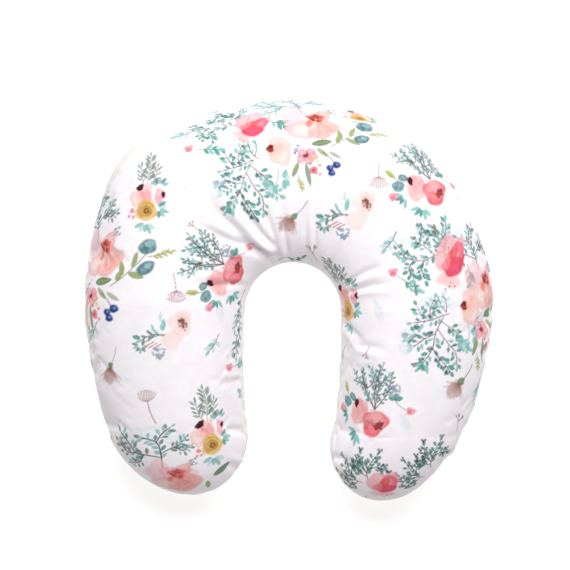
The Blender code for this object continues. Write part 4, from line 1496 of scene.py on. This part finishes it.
def polar(radius, angle, z):
    """Points about the centre of the back, with the angle in degrees."""
    turn = np.radians(angle)
    place = np.broadcast_arrays(radius * np.cos(turn), BACK_CENTRE[1] + radius * np.sin(turn), z)
    return np.stack(place, -1)


def tube_mesh(path, radius, sides, flat=1.0):
    """Points and faces of a tube with closed ends along a path. flat widens it along Z."""
    path = np.asarray(path, float)
    run = unit(np.gradient(path, axis=0))
    guide = np.where(np.abs(run[:, 2:3]) > 0.9, [[1.0, 0, 0]], [[0, 0, 1.0]])
    side = unit(np.cross(run, guide))
    over = np.cross(side, run)
    turn = 2 * np.pi * np.arange(sides) / sides
    ring = side[:, None] * np.cos(turn)[:, None] + over[:, None] * np.sin(turn)[:, None] * flat
    points = (path[:, None] + radius * ring).reshape(-1, 3)
    index = np.arange(len(path) * sides).reshape(len(path), sides)
    around = np.roll(index, -1, axis=1)
    faces = np.stack([index[:-1], around[:-1], around[1:], index[1:]], -1).reshape(-1, 4).tolist()
    faces += [index[0, ::-1].tolist(), index[-1].tolist()]
    return points.tolist(), faces


def join_meshes(name, parts):
    """One object from several lots of points and faces."""
    points, faces = [], []
    for more, new_faces in parts:
        shift = len(points)
        points += list(more)
        faces += [[shift + i for i in face] for face in new_faces]
    return make_object(name, points, faces)


def tubes_object(name, paths, radius, sides, flat=1.0):
    """One object from tubes along several paths."""
    return join_meshes(name, [tube_mesh(path, radius, sides, flat) for path in paths])


def arc_sheet(name, angles, radius, heights, steps, rows):
    """A band that follows the round back: heights are its lower and upper edges."""
    angle = np.linspace(*angles, steps)[:, None]
    z = np.linspace(*heights, rows)[None, :]
    points = polar(radius, angle, z).reshape(-1, 3)
    return make_object(name, points.tolist(), sheet_faces(steps, rows))


def rounded_outline(half_long, half_wide_front, half_wide_back, corner, steps=6):
    """A rounded, tapering outline as (along, across) pairs."""
    points = []
    corners = (
        (half_long, half_wide_front, 0),
        (-half_long, half_wide_back, 90),
        (-half_long, -half_wide_back, 180),
        (half_long, -half_wide_front, 270),
    )
    for y, z, turn in corners:
        centre = (y - math.copysign(corner, y), z - math.copysign(corner, z))
        for i in range(steps + 1):
            way = math.radians(turn + 90 * i / steps)
            points.append((centre[0] + corner * math.cos(way), centre[1] + corner * math.sin(way)))
    return points


def plate_mesh(outline, low, high, shift=0.0, hole=None):
    """A plate between two X planes, with an optional hole of as many points as the outline."""
    rings = [outline] if hole is None else [outline, hole]
    points = [(x, y + shift, z) for ring in rings for x in (low, high) for y, z in ring]
    count = len(outline)
    index = np.arange(4 * count).reshape(4, count)
    bottom, top, inner_bottom, inner_top = index.tolist()
    steps = [(i, (i + 1) % count) for i in range(count)]
    faces = [[bottom[i], bottom[j], top[j], top[i]] for i, j in steps]
    if hole is None:
        return points, [*faces, bottom[::-1], top]
    for i, j in steps:
        faces.append([bottom[j], bottom[i], inner_bottom[i], inner_bottom[j]])
        faces.append([top[i], top[j], inner_top[j], inner_top[i]])
        faces.append([inner_bottom[j], inner_bottom[i], inner_top[i], inner_top[j]])
    return points, faces


def bevel(obj, width):
    change = obj.modifiers.new("bevel", "BEVEL")
    change.width = width
    change.segments = 3
    change.limit_method = "ANGLE"
    return obj


def place_on_back(obj, radius, angle):
    """Puts what is drawn about the origin on the back's arc: X is out and Y along it."""
    obj.matrix_world = (
        Matrix.Translation((0, BACK_CENTRE[1], MID_HEIGHT))
        @ Matrix.Rotation(math.radians(angle), 4, "Z")
        @ Matrix.Translation((radius, 0, 0))
    )
    return obj


# --- Zip ----------------------------------------------------------------------------------------

# Angles are in degrees about the centre of the back, radii and heights in metres.
TAPE_ANGLES = (33.5, 104.5)
TAPE_HEIGHTS = (0.0007, 0.0120)
TAPE_THICKNESS = 0.0006
COIL_ANGLES = (38.5, 100.6)
COIL_FOOT = BACK_RADIUS - 0.0060
COIL_PITCH = 0.00115
COIL_WIRE = 0.00021
COIL_MIDDLE = 0.00112
COIL_HALF_HEIGHT = 0.00142
COIL_HALF_DEPTH = 0.00058
STOP_RADIUS = 0.0008
STOP_TOP = 0.0028
TOP_STOP_ANGLES = (101.0, 101.7)
BOTTOM_STOP_ANGLES = (37.0, 38.2)

# The slider, drawn at its closed place. An outline is its half length, its half width in front
# and behind, and the radius of its corners. Its parts run a little into one another.
CLOSED_ANGLE = 99.0
SLIDER_PLATE = 0.0012
SLIDER_OUTER = BACK_RADIUS - 0.0038
SLIDER_INNER = BACK_RADIUS - 0.0082
SLIDER_TOP = SLIDER_OUTER + SLIDER_PLATE
SLIDER_OUTLINE = (0.0055, 0.0042, 0.0036, 0.0014)
FLANGE_OUTLINE = (0.0050, 0.00045, 0.00045, 0.0003)
FLANGE_PLACE = 0.00362
DIVIDER_OUTLINE = (0.0011, 0.0004, 0.0002, 0.00015)
DIVIDER_PLACE = 0.0041
RUN_IN = 0.0006
BRIDGE_TOP = SLIDER_TOP + 0.0022
BRIDGE_HALF_SPAN = 0.0037
BRIDGE_WIRE = 0.0006
SLIDER_BEVEL = 0.00022

# The pull tab, drawn about its pin: the plate with its slot, two arms and the pin.
PIN_PLACE = SLIDER_TOP + 0.0011
PIN_HALF_LENGTH = 0.0021
PIN_RADIUS = 0.0005
TAB_OUTLINE = (0.0096, 0.0025, 0.0029, 0.0022)
TAB_PLACE = -0.0144
TAB_HALF_THICKNESS = 0.00055
SLOT_PLACE = -0.0052
SLOT_SHARE = (0.30, 0.42)
ARM_OUTLINE = (0.0033, 0.0006, 0.0006, 0.0005)
ARM_PLACE = (-0.0028, 0.0020)
TAB_BEVEL = 0.0002


def zip_coil(sign):
    """One row of the coil: a flattened spring that hooks into the other row."""
    low, high = np.radians(COIL_ANGLES)
    turns = int((high - low) * BACK_RADIUS / COIL_PITCH)
    t = np.linspace(0, turns, turns * 14)
    phase = 2 * np.pi * t + (np.pi if sign < 0 else 0)
    angle = COIL_ANGLES[0] + (COIL_ANGLES[1] - COIL_ANGLES[0]) * t / turns
    z = MID_HEIGHT + sign * (COIL_MIDDLE + COIL_HALF_HEIGHT * np.cos(phase))
    return polar(COIL_FOOT + 0.00095 + COIL_HALF_DEPTH * np.sin(phase), angle, z)


def zip_stop(name, angles, low, high):
    """A rounded stop between two heights, which are counted from the middle of the zip."""
    path = polar(COIL_FOOT + 0.0010, np.linspace(*angles, 5), MID_HEIGHT + (low + high) / 2)
    return tubes_object(name, [path], STOP_RADIUS, 12, (high - low) / (2 * STOP_RADIUS))


def build_zip():
    """The two tapes with their rows of coil, the three stops, and the slider with its tab."""
    tape_cloth = woven("zip_tape", (0.74, 0.72, 0.68), (0.85, 0.83, 0.79), 420)
    plastic = nylon()
    for side, sign in (("upper", 1), ("lower", -1)):
        heights = sorted(MID_HEIGHT + sign * height for height in TAPE_HEIGHTS)
        tape = arc_sheet(f"zip_tape_{side}", TAPE_ANGLES, COIL_FOOT - 0.0003, heights, 143, 9)
        thicken(tape, TAPE_THICKNESS, 0)
        own(tape, tape_cloth, "zip_tape", "pillow", f"zipper_tape_{side}")
        coil = tubes_object(f"zip_coil_{side}", [zip_coil(sign)], COIL_WIRE, 6)
        own(coil, plastic, "zip_nylon", "pillow", f"zipper_coil_{side}")
        ends = sorted((sign * RUN_IN, sign * STOP_TOP))
        stop = zip_stop(f"zip_top_stop_{side}", TOP_STOP_ANGLES, *ends)
        own(stop, plastic, "zip_nylon", "pillow", f"zipper_top_stop_{side}")
    stop = zip_stop("zip_bottom_stop", BOTTOM_STOP_ANGLES, -STOP_TOP, STOP_TOP)
    own(stop, plastic, "zip_nylon", "pillow", "zipper_bottom_stop")
    coat = enamel()
    build_slider(coat)
    build_pull_tab(coat)


def build_slider(coat):
    """Two plates with flanges and a divider between them, and the bridge over the outer one."""
    outline = rounded_outline(*SLIDER_OUTLINE)
    divider = rounded_outline(*DIVIDER_OUTLINE)
    parts = [
        plate_mesh(outline, SLIDER_OUTER, SLIDER_TOP),
        plate_mesh(outline, SLIDER_INNER, SLIDER_INNER + SLIDER_PLATE),
        plate_mesh(divider, SLIDER_INNER + RUN_IN, SLIDER_TOP - RUN_IN, DIVIDER_PLACE),
    ]
    for side in (FLANGE_PLACE, -FLANGE_PLACE):
        wall = [(y, z + side) for y, z in rounded_outline(*FLANGE_OUTLINE)]
        parts.append(plate_mesh(wall, COIL_FOOT + 0.0004, SLIDER_OUTER + RUN_IN))
    sweep = np.linspace(0, np.pi, 25)
    foot = SLIDER_TOP - RUN_IN
    rise = (BRIDGE_TOP + RUN_IN - foot) * np.clip(np.sin(sweep), 0, 1) ** 0.35
    arch = np.stack([foot + rise, -BRIDGE_HALF_SPAN * np.cos(sweep), 0 * sweep], 1)
    parts.append(tube_mesh(arch, BRIDGE_WIRE, 10, 1.5))
    slider = bevel(join_meshes("zip_slider", parts), SLIDER_BEVEL)
    place_on_back(slider, 0, CLOSED_ANGLE)
    own(slider, coat, "slider_enamel", "slider", "zipper_slider")


def build_pull_tab(coat):
    """A flat plate with a slot, held to the bridge by two arms and a pin."""
    outline = rounded_outline(*TAB_OUTLINE)
    slot = [(y * SLOT_SHARE[0] + SLOT_PLACE, z * SLOT_SHARE[1]) for y, z in outline]
    low, high = -TAB_HALF_THICKNESS, TAB_HALF_THICKNESS
    parts = [plate_mesh(outline, low, high, TAB_PLACE, slot)]
    along, aside = ARM_PLACE
    for side in (aside, -aside):
        arm = [(y + along, z + side) for y, z in rounded_outline(*ARM_OUTLINE)]
        parts.append(plate_mesh(arm, low, high))
    pin = [(0, 0, -PIN_HALF_LENGTH), (0, 0, 0), (0, 0, PIN_HALF_LENGTH)]
    parts.append(tube_mesh(pin, PIN_RADIUS, 12))
    tab = bevel(join_meshes("zip_pull_tab", parts), TAB_BEVEL)
    place_on_back(tab, PIN_PLACE, CLOSED_ANGLE)
    own(tab, coat, "slider_enamel", "pull_tab", "zipper_pull_tab")


# --- Stitches, tag and labels -------------------------------------------------------------------


STITCH_SETBACK = 0.0018
STITCH_PITCH = 0.0032
STITCH_LENGTH = 0.0023
STITCH_THREAD = 0.00026
STITCH_PAST_MOUTH = 1.5
# How far a stitch stands out of the cloth, by how far along it one is.
STITCH_ARCH = ((0, -0.0002), (0.25, 0.0001), (0.5, 0.0002), (0.75, 0.0001), (1, -0.0002))


def read_at(place, travel, rows):
    """A row of numbers at a place between those of rows."""
    return [np.interp(place, travel, column) for column in rows.T]


def stitch_paths(plan, grid):
    """Short lengths of thread along the zip's mouth."""
    low, high = MOUTH[0] - STITCH_PAST_MOUTH, MOUTH[1] + STITCH_PAST_MOUTH
    columns = np.flatnonzero((plan.outer_angle > low) & (plan.outer_angle < high))
    line = []
    for rows in grid[columns, ::-1]:
        line.append(read_at(STITCH_SETBACK, travelled(rows), rows))
    line = np.array(line)
    travel = travelled(line)
    way = plan.way[columns]
    paths = []
    for start in np.arange(0, travel[-1] - STITCH_LENGTH, STITCH_PITCH):
        path = []
        for t, lift in STITCH_ARCH:
            at = start + t * STITCH_LENGTH
            x, y, z = read_at(at, travel, line)
            out_x, out_y = read_at(at, travel, way)
            path.append([x + out_x * lift, y + out_y * lift, z])
        paths.append(path)
    return paths


TAG_ANGLE = 111.0
TAG_WIDTH = 0.013
TAG_DROOP = 0.0022
TAG_THICKNESS = 0.0002
TAG_RIPPLE = 0.0004
TAG_RADII = (BACK_RADIUS - 0.008, BACK_RADIUS + 0.0135)


def side_tag(satin):
    """A blank satin ribbon, folded double and caught in the seam by its ends."""
    low, high = TAG_RADII
    reach = np.linspace(0, 1, 22)
    radius, droop = low + (high - low) * reach, -TAG_DROOP * reach**2
    belly = np.sin(np.pi * reach * 0.9)
    bend = np.radians(np.linspace(80, -80, 7))
    upper = np.stack([radius, 0.0007 * belly + 0.0002 + droop], 1)
    curl = np.stack([high + 0.0007 * np.cos(bend), droop[-1] + 0.0001 + 0.0005 * np.sin(bend)], 1)
    lower = np.stack([radius, droop - 0.0002 - 0.0004 * belly], 1)[::-1]
    profile = np.concatenate([upper, curl, lower])
    across = np.linspace(-0.5, 0.5, 11) * TAG_WIDTH
    out, along = heading(TAG_ANGLE), heading(TAG_ANGLE + 90)
    points = []
    for radius, z in profile:
        for shift in across:
            x, y = BACK_CENTRE + out * radius + along * shift
            ripple = TAG_RIPPLE * math.sin(shift * 420) * (radius - low) / (high - low)
            points.append((x, y, MID_HEIGHT + z + ripple))
    tag = make_object("side_tag", points, sheet_faces(len(profile), len(across)))
    thicken(tag, TAG_THICKNESS)
    own(tag, satin, "label_satin", "pillow", "cover_side_tag")


LABEL_THICKNESS = 0.0003
LABEL_RIPPLE = 0.0003
# A label's upper and lower ends, as shares of the way from the underside's middle to the seam.
LABEL_ROWS = (0.90, 0.58)


def hidden_label(name, node, material, slot, angles, inset, floor):
    """A small blank label that hangs from a seam inside, down the lower half."""
    angle = np.linspace(*angles, 14)
    turn = np.radians(angle)
    way = np.stack([np.cos(turn), np.sin(turn)], 1)
    outer = BACK_CENTRE + BACK_RADIUS * way
    middle = (outer + WAIST_CENTRE + WAIST_RADIUS * way) / 2
    half = np.linalg.norm(outer - middle, axis=1)
    reach, out = half - inset, (outer - middle) / half[:, None]
    rows = np.linspace(*LABEL_ROWS, 16) * np.pi / 2
    points = []
    for i in range(len(angle)):
        for row in rows:
            place = middle[i] + out[i] * reach[i] * math.sin(row) ** ROUNDNESS
            sag = LABEL_RIPPLE * math.sin(9 * row + i)
            z = MID_HEIGHT - (MID_HEIGHT + FLOOR_SINK - floor) * math.cos(row) ** ROUNDNESS
            points.append([place[0] - out[i][0] * sag, place[1] - out[i][1] * sag, z])
    label = make_object(name, points, sheet_faces(len(angle), len(rows)))
    thicken(label, LABEL_THICKNESS)
    own(label, material, slot, "pillow", node)


def build_tag_and_labels():
    """Each label's last values are its angles, its inset from the outline and its floor."""
    satin = woven("label_satin", (0.80, 0.79, 0.75), (0.90, 0.89, 0.86), 700, 0.35, 0.3, 0.0001)
    side_tag(satin)
    care = ("care_label", "cover_care_label", satin, "label_satin")
    hidden_label(*care, (58.0, 64.0), 0.0050, 0.003)
    stock = fleece("label_fleece", (0.82, 0.82, 0.82), (0.90, 0.90, 0.90), 1200)
    casing = ("casing_label", "inner_casing_label", stock, "label_fleece")
    hidden_label(*casing, (74.0, 82.0), 0.0082, 0.0034)


# --- The pieces ---------------------------------------------------------------------------------


def own(obj, material, slot, body, *nodes):
    """Gives a piece its material, the body it rides on and the CAD nodes it stands for."""
    obj.data.materials.append(material)
    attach(obj, body)
    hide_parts(*nodes)
    return obj


def cloth_places(plan, grid):
    """Flat coordinates of the cloth, in metres: out from the spine by the length of the cloth."""
    travel = np.linalg.norm(np.diff(grid, axis=1), axis=2)
    travel = np.concatenate([np.zeros((len(grid), 1)), np.cumsum(travel, axis=1)], 1)
    flat = plan.spine[:, None] + plan.way[:, None] * travel[:, :, None]
    return np.concatenate([flat, travel[:, :, None]], 2)


def build_cover(fine, coarse):
    """The printed top, the plain bottom and the stitches along the zip's mouth."""
    top, bottom = cover_surfaces(fine, coarse)
    printed = cotton("printed_cotton", (0.955, 0.94, 0.95), (1.0, 1.0, 1.0), printed=True)
    plain = cotton("plain_cotton", (0.86, 0.835, 0.785), (0.93, 0.91, 0.87))
    colour = paint_print(fine, top).reshape(top.shape)
    # The turned-in hem rows take the rim's colour, painted seam shade and all.
    colour = np.concatenate([colour, np.repeat(colour[:, -1:], len(HEM), 1)], 1)
    whole_top = turned_edge(fine, top, -1)
    whole_bottom = turned_edge(fine, bottom, 1)
    upper, index = grid_object("cover_top", fine, whole_top, False)
    add_attribute(upper, "print", index, colour, colour=True)
    add_attribute(upper, "cloth", index, cloth_places(fine, whole_top))
    own(upper, printed, "printed_cotton", "pillow", "cover_top_panel")
    lower, index = grid_object("cover_bottom", fine, whole_bottom, True)
    add_attribute(lower, "cloth", index, cloth_places(fine, whole_bottom))
    own(lower, plain, "plain_cotton", "pillow", "cover_bottom_panel")
    thread = Shade("sewing_thread", Roughness=0.6, Sheen_Weight=0.2)
    twist = thread.bands(thread.place(), 900, "DIAGONAL")
    thread.finish(thread.ramp(twist, (0.70, 0.68, 0.64), (0.86, 0.85, 0.82)))
    paths = stitch_paths(fine, top) + stitch_paths(fine, bottom)
    stitches = tubes_object("mouth_stitches", paths, STITCH_THREAD, 6)
    stitches.data.materials.append(thread.made)
    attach(stitches, "pillow")


CASING_INSET = 0.0095
CASING_FLOOR = 0.004
CASING_GAP = 0.0004
FILL_INSET = 0.0118
FILL_FLOOR = 0.0062
FILL_LUMPS = 0.0009
INNER_ROWS = 20


def build_inside(plan):
    """The inner pillow: its casing in two halves, and the fibre."""
    level = np.full(plan.count, MID_HEIGHT)
    ticking = fleece("ticking", (0.78, 0.78, 0.77), (0.86, 0.86, 0.85), 420)
    for name, node, start, up in (
        ("inner_casing_upper", "inner_casing_top", 0, 1),
        ("inner_casing_lower", "inner_casing_bottom", np.pi, -1),
    ):
        meet = angle_at(plan, level + up * CASING_GAP, CASING_INSET)
        grid = section(plan, spread(start, meet, INNER_ROWS), level, CASING_INSET, CASING_FLOOR)
        away = np.abs(grid[:, :, 2] - MID_HEIGHT)
        normal = surface_normals(grid, up)
        push = puckers(plan, away) * smooth_step(*FLOOR_FADE, grid[:, :, 2] - CASING_FLOOR)
        grid = even_crown(plan, grid + normal * push[:, :, None])
        casing, _ = grid_object(name, plan, grid, up < 0)
        own(casing, ticking, "ticking", "pillow", node)
    meet = angle_at(plan, level, FILL_INSET)
    lumps = FILL_LUMPS * np.random.default_rng(12).standard_normal((plan.count, INNER_ROWS + 1))
    lumps[:, [0, -1]] = 0
    halves = []
    for start, up in ((0, 1), (np.pi, -1)):
        grid = section(plan, spread(start, meet, INNER_ROWS), level, FILL_INSET, FILL_FLOOR)
        normal = surface_normals(grid, up)
        grid = even_crown(plan, grid - normal * np.abs(lumps)[:, :, None])
        half, _ = grid_object("half", plan, grid, up < 0)
        faces = [list(face.vertices) for face in half.data.polygons]
        halves.append(([list(v.co) for v in half.data.vertices], faces))
        bpy.data.objects.remove(half, do_unlink=True)
    fill = join_meshes("fibre_filling", halves)
    weld = fill.modifiers.new("weld", "WELD")
    weld.merge_threshold = 0.0001
    fibre = fleece("polyester_fibre", (0.82, 0.82, 0.82), (0.92, 0.92, 0.92), 900)
    own(fill, fibre, "polyester_fibre", "pillow", "fibre_fill")


# --- Floor, light and world ---------------------------------------------------------------------


FLOOR_HALF = 4
FLOOR_GLOW = 0.54
WORLD_TINT = (1.0, 0.945, 0.95, 1)
WORLD_STRENGTH = 0.33
LAMP_TINT = (0.97, 0.988, 1.0)
LAMP_TARGET = Vector((0, 0, 0.1))
# Each lamp's name, place, size in metres and power in watts.
LAMPS = (("key", (0.10, 0.85, 1.62), 1.0, 28), ("fill", (1.4, 0.4, 1.7), 1.2, 0.8))


def build_studio():
    """A plain white floor, an even world, and two soft lamps."""
    corners = [(x * FLOOR_HALF, y * FLOOR_HALF, 0) for x, y in ((-1, -1), (1, -1), (1, 1), (-1, 1))]
    floor = make_object("floor", corners, [(0, 1, 2, 3)], smooth=False)
    glow = {"Emission_Color": (1, 1, 1, 1), "Emission_Strength": FLOOR_GLOW}
    paper = Shade("floor_paper", Roughness=0.9, **glow)
    grain = paper.noise(paper.place(), 30)
    paper.finish(paper.ramp(grain, (0.86, 0.86, 0.86), (0.90, 0.90, 0.90)))
    floor.data.materials.append(paper.made)
    world = bpy.data.worlds.new("studio")
    bpy.context.scene.world = world
    world.use_nodes = True
    sky = world.node_tree.nodes["Background"]
    sky.inputs["Color"].default_value = WORLD_TINT
    sky.inputs["Strength"].default_value = WORLD_STRENGTH
    for name, place, size, watts in LAMPS:
        lamp = bpy.data.lights.new(name, "AREA")
        lamp.size = size
        lamp.energy = watts
        lamp.color = LAMP_TINT
        obj = add_object(name, lamp)
        obj.location = place
        obj.rotation_euler = (LAMP_TARGET - Vector(place)).to_track_quat("-Z", "Y").to_euler()
    settings = bpy.context.scene.view_settings
    settings.view_transform = "Standard"
    settings.look = "None"


def main():
    """The cover's cloth is fine. What is inside follows a coarser plan."""
    fine = Plan(BACK_COLUMNS, ARM_COLUMNS, TIP_COLUMNS)
    coarse = Plan(BACK_COLUMNS // COARSE, ARM_COLUMNS // COARSE, TIP_COLUMNS // COARSE)
    build_cover(fine, coarse)
    build_inside(coarse)
    build_zip()
    build_tag_and_labels()
    add_camera()
    build_studio()


main()
